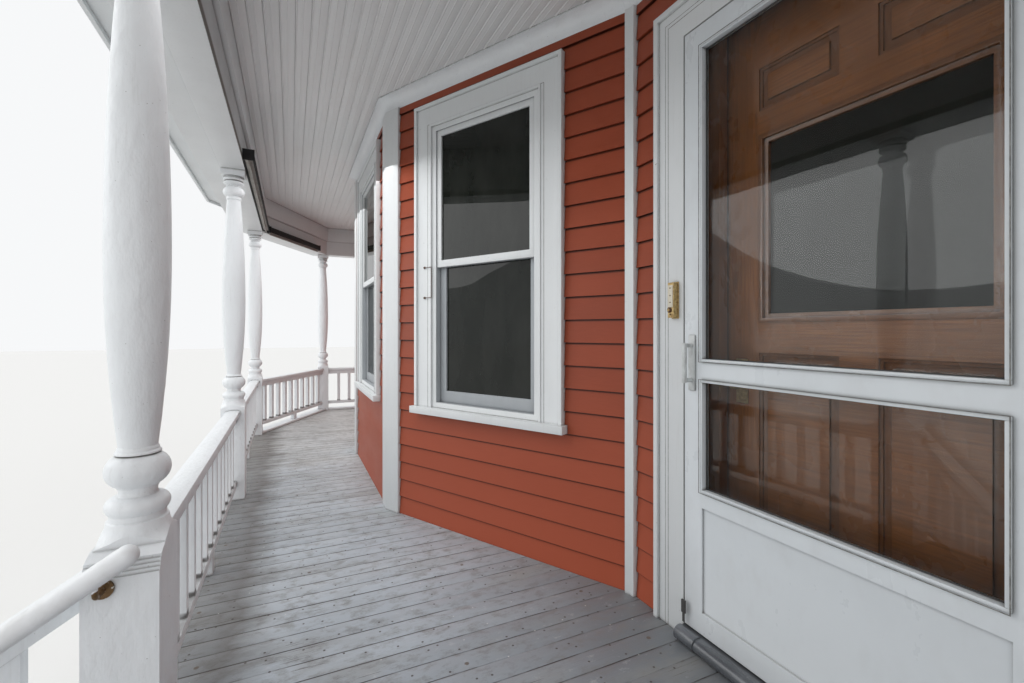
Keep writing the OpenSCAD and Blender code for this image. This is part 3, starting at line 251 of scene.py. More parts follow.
class Net:
    """Makes the nodes of one tree."""

    def __init__(self, tree):
        self.tree = tree

    def node(self, kind, settings=None, inputs=None, out=0):
        """Adds a node; settings are set first, then the values or links of its sockets."""
        made = self.tree.nodes.new(kind)
        for key, value in (settings or {}).items():
            if key == "stops":
                self.set_stops(made.color_ramp, value)
            else:
                setattr(made, key, value)
        for key, value in (inputs or {}).items():
            socket = made.inputs[key]
            if isinstance(value, Socket):
                self.tree.links.new(value.link, socket)
            elif socket.type == "RGBA" and len(value) == 3:
                socket.default_value = (*value, 1)
            else:
                socket.default_value = value
        return Socket(self, made.outputs[out]) if made.outputs else made

    @staticmethod
    def set_stops(ramp, stops):
        """Sets a colour ramp's stops, each a place and a grey value."""
        while len(ramp.elements) < len(stops):
            ramp.elements.new(0.5)
        for element, (place, value) in zip(ramp.elements, stops):
            element.position = place
            element.color = (value, value, value, 1)

    def maths(self, operation, *values):
        """A Math node, or a Vector Math node where a value is a vector."""
        links = [value.link.type for value in values if isinstance(value, Socket)]
        vector = "VECTOR" in links or any(isinstance(value, (tuple, Vector)) for value in values)
        kind = "ShaderNodeVectorMath" if vector else "ShaderNodeMath"
        return self.node(kind, {"operation": operation}, dict(enumerate(values)))

    def mix(self, factor, first, second):
        """A mix of two colours."""
        return self.node("ShaderNodeMix", {"data_type": "RGBA", "clamp_factor": True},
                         {0: factor, 6: first, 7: second}, 2)

    def grey(self, colour):
        """The brightness of a colour."""
        return self.node("ShaderNodeRGBToBW", None, {0: colour})

    def ramp(self, value, *stops):
        """A colour ramp, as a grey value from its stops."""
        return self.grey(self.node("ShaderNodeValToRGB", {"stops": stops}, {0: value}))

    def cover(self, under, over, value, *stops):
        """A colour with another one over it, as much as a ramp of a value says."""
        return self.mix(self.ramp(value, *stops), under, over)

    def place(self):
        """Place on the object, in metres."""
        return self.node("ShaderNodeTexCoord").of("Object")

    def noise(self, at, size, stretch=(1, 1, 1), detail=4, rough=0.55):
        """Noise whose features are about size metres, times stretch."""
        scaled = at * tuple(1 / (size * part) for part in stretch)
        inputs = {"Vector": scaled, "Scale": 1.0, "Detail": detail, "Roughness": rough}
        return self.node("ShaderNodeTexNoise", None, inputs)

    def attribute(self, name):
        """A value that each board or brick carries."""
        return self.node("ShaderNodeAttribute", {"attribute_name": name}).of("Fac")

    def parts(self, at):
        """The X, Y and Z parts of a place."""
        return self.node("ShaderNodeSeparateXYZ", None, {0: at})

    def height(self, at):
        """The up part of a place."""
        return self.parts(at).of("Z")

    def bump(self, value, distance):
        """A bump of so many metres from a value."""
        return self.node("ShaderNodeBump", None, {"Height": value, "Distance": distance})


FINISHES = {}


def finish(maker):
    """Marks a function that makes the Principled inputs of a material of its own name."""
    FINISHES[maker.__name__] = maker
    return maker


def material(name):
    """The material of a finish, made when it is first used."""
    made = bpy.data.materials.get(f"porch_{name}")
    if made is not None:
        return made
    made = bpy.data.materials.new(f"porch_{name}")
    made.use_nodes = True
    made.node_tree.nodes.clear()
    net = Net(made.node_tree)
    inputs = FINISHES[name](net, net.place())
    shader = net.node("ShaderNodeBsdfPrincipled", None, inputs)
    net.node("ShaderNodeOutputMaterial", None, {"Surface": shader})
    return made


def colours():
    """The paint colours of the scene."""
    return bpy.context.scene.porch_colours


# Finishes


def surface(colour, roughness, normal):
    """The inputs of the shader that every finish sets."""
    return {"Base Color": colour, "Roughness": roughness, "Normal": normal}


def shade(colour, factor, lift=0.0):
    """A colour made darker or lighter."""
    return tuple(min(1.0, part * factor + lift) for part in colour)


def specks(net, at, spread, radius, share):
    """1 on small round specks, of which a share of all places so far apart has one."""
    cells = net.node("ShaderNodeTexVoronoi", {"feature": "F1", "voronoi_dimensions": "2D"},
                     {"Vector": at, "Scale": 1 / spread})
    chosen = net.grey(cells.of("Color")) < share
    return net.ramp(cells, (radius / spread * 0.75, 1), (radius / spread, 0)) * chosen


def creases(net, reach, low=0.30, high=0.80):
    """1 in corners and grooves narrower than the reach, 0 on open faces."""
    open_sky = net.node("ShaderNodeAmbientOcclusion", {"samples": 6}, {"Distance": reach}).of("AO")
    return 1 - net.ramp(open_sky, (low, 0), (high, 1))


@finish
def siding_paint(net, at):
    """Smooth brick red clapboard paint, each board its own tone, with painted light near the floor and
    painted shade in the laps.
    """
    base = tuple(colours().siding)
    tint = net.attribute("tint")
    waves = net.noise(at, 0.40, (1.4, 1.4, 0.5), 3)
    brush = net.noise(at, 0.0024, (22, 22, 1), 4, 0.6)
    nicks = net.noise(at, 0.013, (2.2, 2.2, 1), 4, 0.7)
    colour = net.cover(shade(base, 0.90), shade(base, 1.10, 0.004), waves, (0.35, 0), (0.68, 1))
    colour = net.mix(tint * 0.42, colour, shade(base, 0.80))
    colour = net.cover(colour, shade(base, 1.35, 0.015), brush, (0.40, 0), (0.72, 0.16))
    colour = net.cover(colour, shade(base, 0.42), nicks, (0.735, 0), (0.77, 0.55))
    up = net.height(at) - DECK_Z
    up_board = net.maths("FRACT", up / bpy.context.scene.porch_boards.course)
    # painted shadow: a dark band under each clapboard's butt
    lap = net.ramp(up_board, (0.895, 0), (0.925, 0.62), (0.965, 0.92))
    # painted light: the boards lighter near the floor, where light bounces up from it
    floor_bounce_light = net.ramp(up + (waves - 0.5) * 0.3, (0.05, 0.75), (0.85, 0))
    colour = net.mix(floor_bounce_light, colour, shade(base, 1.35, 0.012))
    colour = net.mix(lap, colour, shade(base, 0.13))
    # painted shade: darker in the laps and corners, from ambient occlusion
    colour = net.mix(creases(net, 0.010, 0.40, 0.80) * 0.6, colour, shade(base, 0.16))
    return surface(colour, net.ramp(waves, (0.3, 0.40), (0.7, 0.52)),
                   net.bump(brush * 0.5 + waves * 2.0, 0.0007)) | {"Specular IOR Level": 0.3}


def brushed_white(net, at, base, lumps, crease_darkness=0.80):
    """White brushed paint with grey dirt and painted shade in its corners, thin drips and a few dark
    nicks.
    """
    clouds = net.noise(at, 0.30, (1, 1, 1.8))
    drips = net.noise(at, 0.009, (1, 1, 18))
    nicks = net.noise(at, 0.0075, (1, 1, 1), 3, 0.6)
    strokes = net.noise(at, 0.0030, (1, 1, 5), 3)
    dabs = net.noise(at, 0.042, (1, 1, 1.6), 3, 0.5)
    # grey dirt together with painted shade: darker in corners and creases, from ambient occlusion
    crease_dirt_and_shade = creases(net, 0.015, 0.40, 0.86) * (0.45 + clouds * 0.75)
    colour = net.cover(base, shade(base, 0.91), clouds, (0.35, 0), (0.75, 0.6))
    colour = net.cover(colour, (0.47, 0.47, 0.45), drips, (0.58, 0), (0.80, 0.22))
    colour = net.mix(crease_dirt_and_shade * crease_darkness, colour, (0.175, 0.171, 0.160))
    colour = net.cover(colour, (0.22, 0.205, 0.185), nicks, (0.715, 0), (0.74, 0.8))
    return surface(colour, net.ramp(clouds, (0.3, 0.36), (0.7, 0.50)),
                   net.bump(strokes * 0.35 + dabs * lumps, 0.0011))


@finish
def trim_paint(net, at):
    """White paint of the flat trim."""
    return brushed_white(net, at, tuple(colours().trim), 0.5)


@finish
def post_paint(net, at):
    """White paint of the posts and rails, thick and lumpy from many coats."""
    return brushed_white(net, at, tuple(colours().posts), 5.5, 1.15)


@finish
def rail_paint(net, at):
    """The posts' paint on the rails, darker in a band round the feet of the balusters."""
    look = post_paint(net, at)
    up = net.height(at) - DECK_Z
    # a dark band just above the bottom rail, round the feet of the balusters
    foot = net.ramp(up, (0.1195, 0), (0.1215, 1), (0.1330, 0.9), (0.1400, 0))
    patchy = net.ramp(net.noise(at, 0.10, detail=2), (0.40, 0.55), (0.52, 1))
    look["Base Color"] = net.mix(foot * patchy * 0.95, look["Base Color"], (0.052, 0.043, 0.036))
    return look


@finish
def floor_paint(net, at):
    """Blue grey porch paint, worn along the boards, with dark cracks, brown scuffs and specks, painted
    shade by the door and the rail, and painted light farther along.
    """
    base = tuple(colours().deck)
    tint = net.attribute("tint")
    parts = net.parts(at)
    along, across = parts.of("Y"), parts.of("X")
    grain = net.noise(at, 0.0045, (1, 30, 1), 5, 0.65)
    wear = net.noise(at, 0.17, (1, 2.8, 1), 6, 0.62)
    broad = net.noise(at, 0.9, detail=3)
    crumbs = specks(net, at, 0.060, 0.0045, 0.42)
    colour = net.cover(shade(base, 0.94), shade(base, 1.05), grain, (0.36, 0), (0.66, 1))
    colour = net.mix(tint * 0.70, colour, shade(base, 0.74))
    # painted light: the floor lighter and warmer farther along the porch
    farther = net.ramp(across * -0.16 + (broad - 0.5) * 0.8, (0.25, 0), (0.85, 0.70))
    colour = net.mix(farther, colour, (0.62, 0.605, 0.575))
    # painted shade: the floor darker in the corner by the door, which the walls shade
    painted_shade_from_door = along * -1.0 + across * -0.45 + (wear - 0.5) * 0.35
    colour = net.cover(colour, (0.120, 0.126, 0.134), painted_shade_from_door / 1.5,
                       (0.00, 0.92), (0.30, 0.74), (0.63, 0.32), (0.88, 0))
    colour = net.cover(colour, (0.290, 0.280, 0.258), wear, (0.50, 0), (0.72, 0.55))
    scuffs = net.noise(at + (1.7, 4.4, 0.0), 0.045, (1, 1.7, 1), 7, 0.72)
    colour = net.cover(colour, (0.215, 0.214, 0.210), scuffs, (0.50, 0), (0.64, 0.62))
    colour = net.cover(colour, (0.62, 0.63, 0.64), scuffs, (0.30, 0.35), (0.40, 0))
    place = (across - side("deck", "x", False)) / floor_pitch()
    in_board = abs(net.maths("FRACT", place) - 0.5) * 2.0
    split = net.noise(at, 0.30, (0.16, 1.3, 1), 5, 0.75)
    rained = net.ramp(along * -1.0, (0.60, 0), (0.99, 1))
    crack = (net.ramp(in_board, (0.925, 0), (0.972, 1))
             * net.ramp(split + rained * 0.10, (0.42, 0), (0.56, 1)))
    colour = net.mix(crack * 0.88, colour, (0.060, 0.050, 0.042))
    checks = (net.noise(at, 0.0042, (1, 55, 1), 4, 0.6) * net.ramp(wear, (0.42, 0.78), (0.62, 1.0))
              + rained * 0.045)
    colour = net.cover(colour, (0.085, 0.072, 0.060), checks, (0.655, 0), (0.70, 0.9))
    # a dark band along the rail: dirt, and the rail's painted shadow
    rail_shadow_and_dirt = net.ramp((along * -1.0 - 1.33) * 4.6 + (wear - 0.5) * 1.3,
                       (0.05, 0), (0.70, 0.76), (0.95, 0.60))
    colour = net.mix(rail_shadow_and_dirt, colour, (0.115, 0.103, 0.090))
    colour = net.mix(crumbs * 0.9, colour, (0.060, 0.048, 0.040))
    petals = specks(net, at + (7.3, 2.1, 0.0), 0.13, 0.0030, 0.45)
    colour = net.mix(petals * 0.8, colour, (0.70, 0.70, 0.68))
    leaf_bits = specks(net, at + (3.1, 5.7, 0.0), 0.34, 0.0085, 0.42)
    colour = net.mix(leaf_bits * 0.8, colour, (0.115, 0.080, 0.052))
    return surface(colour, net.ramp(wear, (0.35, 0.34), (0.65, 0.60)),
                   net.bump(grain * 0.35 + wear * 0.5 - crack * 0.9 - checks * 0.3, 0.0018))


@finish
def tread_paint(net, at):
    """The floor's paint on the treads, worn along their own boards."""
    base = tuple(colours().deck)
    grain = net.noise(at, 0.0045, (30, 1, 1), 5, 0.65)
    wear = net.noise(at, 0.12, (2.4, 1, 1), 6, 0.62)
    crumbs = net.noise(at, 0.0085, (1.4, 1, 1), 2)
    colour = net.cover(shade(base, 0.90), shade(base, 1.06), grain, (0.36, 0), (0.66, 1))
    colour = net.cover(colour, (0.300, 0.275, 0.235), wear, (0.48, 0), (0.72, 0.7))
    # painted shade: darker in corners, from ambient occlusion
    colour = net.mix(creases(net, 0.030) * 0.8, colour, (0.110, 0.098, 0.084))
    colour = net.cover(colour, (0.050, 0.042, 0.036), crumbs, (0.725, 0), (0.745, 0.9))
    return surface(colour, net.ramp(wear, (0.35, 0.36), (0.65, 0.62)),
                   net.bump(grain * 0.35 + wear * 0.5, 0.0018))


@finish
def ceiling_paint(net, at):
    """Pale paint on the beaded ceiling, faintly streaked along the boards."""
    base = tuple(colours().ceiling)
    tint = net.attribute("tint")
    streaks = net.noise(at, 0.008, (40, 1, 1))
    clouds = net.noise(at, 0.55, (2, 1, 1), 3)
    colour = net.cover(shade(base, 0.96), base, streaks, (0.35, 0), (0.7, 1))
    colour = net.mix(tint * 0.30, colour, shade(base, 0.90))
    colour = net.cover(colour, (0.60, 0.60, 0.58), clouds, (0.45, 0), (0.75, 0.22))
    return surface(colour, net.ramp(clouds, (0.3, 0.42), (0.7, 0.52)), net.bump(streaks, 0.0003))


@finish
def shaded_beam_face(net, at):
    """The beam's inner face: the trim's white made darker as painted shade, with a brown strip along its
    lower edge.
    """
    base = tuple(colours().trim)
    clouds = net.noise(at, 0.18, (1.8, 1, 1), 5)
    height = net.height(at) - side("porch_beam", "z", False)
    # a brown strip along the lower edge of the face
    strip = net.ramp(height + (clouds - 0.5) * 0.014, (0.034, 1), (0.046, 0))
    brown = net.mix(clouds, (0.115, 0.103, 0.090), (0.220, 0.205, 0.188))
    # painted shade: the whole inner face darker than the trim
    face = net.cover(shade(base, 0.84), shade(base, 0.66), clouds, (0.35, 0), (0.70, 0.6))
    return surface(net.mix(strip, face, brown), net.ramp(clouds, (0.3, 0.5), (0.7, 0.7)),
                   net.bump(clouds, 0.0005))


@finish
def varnished_wood(net, at):
    """Orange brown varnished wood, its grain upright on the stiles and level on the rails."""
    base = tuple(colours().varnish)
    low, high = SIZES["front_door"]
    parts = net.parts(at)
    upright = abs(parts - (low.x + high.x) / 2) > (high.x - low.x) / 2 - STILE_W
    tall = net.noise(at, 0.0050, (1, 1, 34), 6, 0.62)
    level = net.noise(at, 0.0050, (34, 1, 1), 6, 0.62)
    grain = level + (tall - level) * upright
    figure = net.noise(at, 0.10, (1.6, 1, 2.2))
    colour = net.cover(shade(base, 0.62), shade(base, 1.22), grain, (0.34, 0), (0.66, 1))
    colour = net.cover(colour, shade(base, 0.72), figure, (0.40, 0), (0.70, 0.75))
    depth = abs(parts.of("Y") - middle("front_door").y)
    # painted shade: the proud and sunk parts of the mouldings darker
    moulding_shade = net.maths("MAXIMUM", depth > 0.0245, depth < 0.0180)
    colour = net.mix(moulding_shade * 0.55, colour, shade(base, 0.40))
    # painted shade: the door darker towards the bottom
    low_door_shade = net.ramp((net.height(at) - DECK_Z) * 0.9 + (figure - 0.5) * 0.3, (0.20, 0.72), (0.95, 0))
    colour = net.mix(low_door_shade, colour, shade(base, 0.20))
    # painted shade: near black in corners and grooves, from ambient occlusion
    colour = net.mix(creases(net, 0.012, 0.35, 0.88) * 0.92, colour, (0.016, 0.007, 0.004))
    return surface(colour, net.ramp(figure, (0.3, 0.22), (0.7, 0.34)),
                   net.bump(grain, 0.0003)) | {"Coat Weight": 0.4, "Coat Roughness": 0.10}


@finish
def storm_enamel(net, at):
    """Clean white baked enamel of the storm door, greyer towards the bottom, with painted shade in its
    corners.
    """
    clouds = net.noise(at, 0.35, (1, 1, 1.3), 4, 0.6)
    smears = net.noise(at, 0.07, (1, 1, 1.6), 4, 0.6)
    up = net.height(at) - side("storm_door", "z", False)
    # greyer towards the bottom
    low = net.ramp(up * 3.0 + (clouds - 0.5), (0.1, 0.20), (0.9, 0))
    colour = net.cover((0.700, 0.742, 0.770), (0.645, 0.685, 0.712), clouds, (0.35, 0), (0.70, 0.8))
    colour = net.cover(colour, (0.52, 0.53, 0.53), smears, (0.52, 0), (0.72, 0.16))
    colour = net.mix(low, colour, (0.50, 0.50, 0.49))
    # painted shade: grey in corners, from ambient occlusion
    colour = net.mix(creases(net, 0.012, 0.45, 0.90) * 0.85, colour, (0.17, 0.168, 0.160))
    return surface(colour, net.ramp(smears, (0.3, 0.26), (0.7, 0.34)), net.bump(clouds, 0.0004))


@finish
def joint_grime_and_shade(net, at):
    """Dark grey lines in the joints and grooves of painted boards: grime, and painted shade."""
    grime = net.noise(at, 0.020, (1, 1, 1), 5, 0.7)
    colour = net.cover((0.075, 0.072, 0.066), (0.30, 0.30, 0.285), grime, (0.36, 0), (0.66, 1))
    return surface(colour, net.ramp(grime, (0.35, 0.6), (0.7, 0.85)), net.bump(grime, 0.0004))


@finish
def door_gasket(net, at):
    """Dark rubber strip that holds the storm door's glass."""
    dust = net.noise(at, 0.012)
    return surface(net.mix(dust, (0.020, 0.020, 0.021), (0.085, 0.083, 0.080)),
                   net.ramp(dust, (0.35, 0.5), (0.7, 0.8)), net.bump(dust, 0.0003))


@finish
def storm_glass(net, at):
    """Clear clean glass."""
    waves = net.noise(at, 0.45, detail=1)
    return surface((0.95, 0.97, 0.965), 0.0,
                   net.bump(waves, 0.0006)) | {"Transmission Weight": 1.0, "IOR": 1.30}


@finish
def door_light_glass(net, at):
    """Glass of the inner door's light, in front of a dark hall."""
    waves = net.noise(at, 0.35, detail=1)
    film = net.noise(at, 0.12, (1, 1, 2))
    return surface(net.mix(film, (0.009, 0.010, 0.008), (0.026, 0.028, 0.024)),
                   net.ramp(film, (0.4, 0.0), (0.8, 0.03)),
                   net.bump(waves, 0.0006)) | {"Specular IOR Level": 0.3}


@finish
def window_glass(net, at):
    """Window glass in front of a dark room, a little wavy and dusty."""
    film = net.noise(at, 0.16, (1, 1, 2.4), 5)
    colour = net.cover((0.006, 0.008, 0.006), (0.020, 0.022, 0.019), film, (0.35, 0), (0.75, 1))
    waves = net.noise(at, 0.30, detail=1)
    return surface(colour, net.ramp(film, (0.4, 0.0), (0.8, 0.035)),
                   net.bump(waves, 0.0012)) | {"IOR": 1.5, "Specular IOR Level": 0.3}


@finish
def sash_shade(net, at):
    """Blue grey of the lower sashes and the tracks beside them, the faces set back in the wall, with
    painted shade in their corners.
    """
    clouds = net.noise(at, 0.10, (1, 1, 3))
    # painted shade together with dirt: darker in corners, from ambient occlusion
    crease_dirt_and_shade = creases(net, 0.018)
    colour = net.mix(clouds, (0.30, 0.325, 0.345), (0.42, 0.445, 0.465))
    colour = net.mix(crease_dirt_and_shade * 0.6, colour, (0.075, 0.075, 0.078))
    return surface(colour, net.ramp(clouds, (0.3, 0.34), (0.7, 0.48)), net.bump(clouds, 0.0003))


@finish
def threshold_paint(net, at):
    """Slate grey paint of the rounded threshold, rubbed bright by feet."""
    wear = net.noise(at, 0.06, (3, 1, 1), 5)
    scratches = net.noise(at, 0.0035, (1, 9, 1), 4, 0.6)
    colour = net.cover((0.075, 0.082, 0.092), (0.165, 0.178, 0.196), wear, (0.40, 0), (0.72, 1))
    colour = net.cover(colour, (0.26, 0.27, 0.28), scratches, (0.60, 0), (0.72, 0.5))
    # painted shade: darker in corners, from ambient occlusion
    colour = net.mix(creases(net, 0.03) * 0.7, colour, (0.030, 0.028, 0.027))
    return surface(colour, net.ramp(wear, (0.4, 0.20), (0.7, 0.40)),
                   net.bump(scratches, 0.0004)) | {"Coat Weight": 0.3}


@finish
def worn_brass(net, at):
    """Brass with dark patina in its hollows."""
    patina = net.noise(at, 0.010)
    colour = net.cover((0.62, 0.46, 0.22), (0.34, 0.23, 0.10), patina, (0.35, 0), (0.7, 1))
    colour = net.mix(creases(net, 0.006) * 0.8, colour, (0.06, 0.04, 0.02))
    return surface(colour, net.ramp(patina, (0.3, 0.30), (0.7, 0.52)),
                   net.bump(patina, 0.0003)) | {"Metallic": 0.85}


@finish
def cream_plate(net, at):
    """Yellowed cream paint of the bell's front strip."""
    age = net.noise(at, 0.008)
    return surface(net.mix(age, (0.74, 0.70, 0.60), (0.55, 0.49, 0.37)),
                   net.ramp(age, (0.35, 0.35), (0.7, 0.55)), net.bump(age, 0.0002))


@finish
def rusty_iron(net, at):
    """Dark rusty iron of screws, feet and wire."""
    rust = net.noise(at, 0.004, (1, 1, 1), 5, 0.65)
    return surface(net.cover((0.035, 0.024, 0.018), (0.17, 0.075, 0.035), rust, (0.38, 0), (0.66, 1)),
                   net.ramp(rust, (0.35, 0.55), (0.7, 0.85)), net.bump(rust, 0.0004))


@finish
def handle_enamel(net, at):
    """Pale grey enamel of the storm door's handle, worn where hands hold it."""
    wear = net.noise(at, 0.02, (1, 1, 2))
    colour = net.cover((0.60, 0.63, 0.63), (0.42, 0.43, 0.43), wear, (0.45, 0), (0.75, 1))
    # painted shade: darker in corners, from ambient occlusion
    colour = net.mix(creases(net, 0.010) * 0.7, colour, (0.12, 0.12, 0.12))
    return surface(colour, net.ramp(wear, (0.4, 0.28), (0.7, 0.45)), net.bump(wear, 0.0002))


@finish
def hinge_paint(net, at):
    """White paint on the hinges, chipped to the metal."""
    chips = net.noise(at, 0.008)
    worn = net.ramp(chips, (0.58, 0), (0.64, 1))
    return surface(net.mix(worn, (0.74, 0.75, 0.75), (0.30, 0.28, 0.26)), 0.4,
                   net.bump(chips, 0.0003)) | {"Metallic": worn * 0.8}


@finish
def handrail_paint(net, at):
    """White painted pipe, streaked with grey."""
    clouds = net.noise(at, 0.05, detail=5)
    drips = net.noise(at, 0.008, (1, 6, 6))
    paint = net.cover((0.79, 0.81, 0.83), (0.55, 0.55, 0.54), clouds, (0.45, 0), (0.8, 0.5))
    paint = net.cover(paint, (0.38, 0.37, 0.355), drips, (0.62, 0), (0.8, 0.4))
    return surface(paint, net.ramp(clouds, (0.3, 0.32), (0.7, 0.46)), net.bump(clouds, 0.0007))


@finish
def bronze_bracket(net, at):
    """Brown bronze of the handrail's brackets, with flakes of old white paint."""
    age = net.noise(at, 0.006, (1, 1, 1), 5, 0.65)
    flakes = net.ramp(net.noise(at, 0.011, (1, 1, 1), 4, 0.6), (0.60, 0), (0.63, 1))
    metal = net.mix(age, (0.26, 0.155, 0.070), (0.095, 0.060, 0.032))
    return surface(net.mix(flakes, metal, (0.70, 0.69, 0.66)), net.ramp(age, (0.3, 0.40), (0.7, 0.62)),
                   net.bump(age, 0.0007)) | {"Metallic": (1 - flakes) * 0.7}


@finish
def shade_cloth(net, at):
    """Black cloth of a rolled shade."""
    weave = net.noise(at, 0.0016, detail=2)
    dust = net.noise(at, 0.06, (4, 4, 1))
    colour = net.cover((0.006, 0.006, 0.007), (0.030, 0.028, 0.026), dust, (0.45, 0), (0.8, 0.5))
    return surface(colour, net.ramp(dust, (0.3, 0.6), (0.7, 0.85)), net.bump(weave, 0.0005))


@finish
def shade_slats(net, at):
    """Grey brown wooden slats rolled up in a shade."""
    grain = net.noise(at, 0.0035, (18, 18, 1), 5)
    dust = net.noise(at, 0.09, (2, 2, 1), 3)
    colour = net.cover((0.225, 0.205, 0.185), (0.330, 0.305, 0.280), grain, (0.35, 0), (0.7, 1))
    colour = net.cover(colour, (0.37, 0.355, 0.335), dust, (0.45, 0), (0.75, 0.6))
    return surface(colour, 0.62, net.bump(grain, 0.0004))


@finish
def roof_shingles(net, at):
    """Asphalt shingles with coarse grit."""
    tint = net.attribute("tint")
    grit = net.noise(at, 0.0035, (1, 1, 1), 3, 0.8)
    clouds = net.noise(at, 0.3, detail=3)
    colour = net.mix(tint, (0.070, 0.072, 0.080), (0.185, 0.178, 0.170))
    colour = net.cover(colour, (0.22, 0.215, 0.21), grit, (0.45, 0), (0.62, 0.8))
    colour = net.cover(colour, (0.06, 0.062, 0.058), clouds, (0.5, 0), (0.8, 0.3))
    # painted shade: near black between the shingles, from ambient occlusion
    colour = net.mix(creases(net, 0.030, 0.55, 0.97) * 0.9, colour, (0.018, 0.018, 0.019))
    return surface(colour, 0.92, net.bump(grit, 0.0018))


@finish
def pier_brick(net, at):
    """Red bricks, each with its own shade and a rough face."""
    tint = net.attribute("tint")
    face = net.noise(at, 0.012, (1, 1, 1), 5, 0.65)
    colour = net.mix(tint, (0.30, 0.10, 0.062), (0.42, 0.19, 0.13))
    colour = net.cover(colour, (0.17, 0.075, 0.055), face, (0.42, 0), (0.68, 0.8))
    return surface(colour, 0.88, net.bump(face, 0.0022))


@finish
def mortar(net, at):
    """Grey mortar between bricks."""
    sand = net.noise(at, 0.005, (1, 1, 1), 4, 0.7)
    colour = net.mix(sand, (0.34, 0.33, 0.31), (0.52, 0.50, 0.46))
    return surface(colour, 0.95, net.bump(sand, 0.0015))


@finish
def foundation_stone(net, at):
    """Rubble foundation: rough stones in pale joints."""
    cells = {"Vector": at * (3.2, 3.2, 5.2), "Scale": 1.0, "Randomness": 0.85}
    edge = net.node("ShaderNodeTexVoronoi", {"feature": "DISTANCE_TO_EDGE"}, cells)
    tone = net.grey(net.node("ShaderNodeTexVoronoi", {"feature": "F1"}, cells).of("Color"))
    face = net.noise(at, 0.03, (1, 1, 1), 6, 0.6)
    joint = net.ramp(edge, (0.03, 1), (0.07, 0))
    stone = net.mix(tone, (0.24, 0.23, 0.22), (0.42, 0.39, 0.35))
    stone = net.cover(stone, (0.16, 0.155, 0.145), face, (0.45, 0), (0.7, 0.6))
    colour = net.mix(joint, stone, (0.50, 0.48, 0.44))
    return surface(colour, 0.9, net.bump(net.ramp(edge, (0.02, 0), (0.16, 1)) + face * 0.5, 0.012))


@finish
def bare_timber(net, at):
    """Weathered joists under the floor."""
    grain = net.noise(at, 0.006, (24, 24, 1), 5)
    colour = net.cover((0.20, 0.14, 0.085), (0.36, 0.27, 0.17), grain, (0.35, 0), (0.7, 1))
    return surface(colour, 0.75, net.bump(grain, 0.0010))


@finish
def room_floor(net, at):
    """Varnished floor boards inside the bay."""
    grain = net.noise(at, 0.006, (26, 1, 1), 5)
    bands = net.node("ShaderNodeTexWave", {"bands_direction": "Y"}, {"Vector": at, "Scale": 3.6})
    colour = net.cover((0.16, 0.075, 0.030), (0.32, 0.16, 0.07), grain, (0.35, 0), (0.7, 1))
    colour = net.cover(colour, (0.04, 0.02, 0.01), bands, (0.0, 0.8), (0.06, 0))
    return surface(colour, 0.35, net.bump(grain, 0.0005))


@finish
def house_wall(net, at):
    """The boards' red on the street side of the walls, and grey plaster on the room side."""
    paint = siding_paint(net, at)
    room = net.parts(net.node("ShaderNodeTexCoord").of("Normal")).of("Y") > 0.3
    trowel = net.noise(at, 0.10, (1, 1, 1), 6, 0.6)
    plaster = net.cover((0.52, 0.51, 0.48), (0.63, 0.62, 0.59), trowel, (0.35, 0), (0.7, 1))
    return surface(net.mix(room, paint["Base Color"], plaster), paint["Roughness"],
                   net.bump(trowel, 0.0008))


# Pieces


def linked(mesh, name):
    """A new object of a mesh, in the scene."""
    made = bpy.data.objects.new(name, mesh)
    bpy.context.scene.collection.objects.link(made)
    return made


def body_of_node(node):
    """The body that a CAD node rides on."""
    return frame["nodes"][node]["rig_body"]


def slot_of_node(node):
    """The record's material slot of a CAD node."""
    for row in frame["record"]["subparts"]:
        if row["node"] == node:
            return row["material_slot"]
    raise RuntimeError(f"{node} has no material slot")


def smooth(bm, angle=math.radians(34)):
    """Shades a mesh smooth, with edges over the angle kept sharp."""
    for face in bm.faces:
        face.smooth = True
    for edge in bm.edges:
        edge.smooth = len(edge.link_faces) == 2 and edge.calc_face_angle(0) < angle


def flat(bm):
    """Shades a mesh flat."""
    for face in bm.faces:
        face.smooth = False


def cut_outside(bm, place, normal):
    """Cuts off what lies past a plane and gives the edges of the cut."""
    cut = bmesh.ops.bisect_plane(bm, geom=bm.verts[:] + bm.edges[:] + bm.faces[:], dist=1e-5,
                                 plane_co=place, plane_no=normal, clear_outer=True)
    return [item for item in cut["geom_cut"] if isinstance(item, bmesh.types.BMEdge)]


def piece_of(bm, name, finish_name, *nodes, body=None, slot=None):
    """A piece made of a bmesh, with one finish, which may stand for CAD nodes."""
    mesh = bpy.data.meshes.new(name)
    bm.to_mesh(mesh)
    bm.free()
    mesh.materials.append(material(finish_name))
    piece = linked(mesh, name)
    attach(piece, body or body_of_node(nodes[0]))
    if nodes:
        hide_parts(*nodes)
    return piece


def fixed_piece(bm, name, finish_name, slot, body="porch"):
    """A piece that stands for no CAD node."""
    return piece_of(bm, name, finish_name, body=body, slot=slot)


def painted(piece, finish_name, chosen):
    """Gives another finish to the faces that a test of middle and direction picks."""
    mesh = piece.data
    mesh.materials.append(material(finish_name))
    for face in mesh.polygons:
        if chosen(face.center, face.normal):
            face.material_index = len(mesh.materials) - 1


def sharp_edges(bm):
    """Edges that turn by more than 40 degrees."""
    return [edge for edge in bm.edges
            if len(edge.link_faces) == 2 and edge.calc_face_angle(0) > math.radians(40)]


def rounded_edges(bm, width, segments=2):
    """Eases all sharp edges of a mesh."""
    bmesh.ops.bevel(bm, geom=sharp_edges(bm), offset=width, segments=segments, profile=0.6,
                    affect="EDGES", clamp_overlap=True)
    smooth(bm)


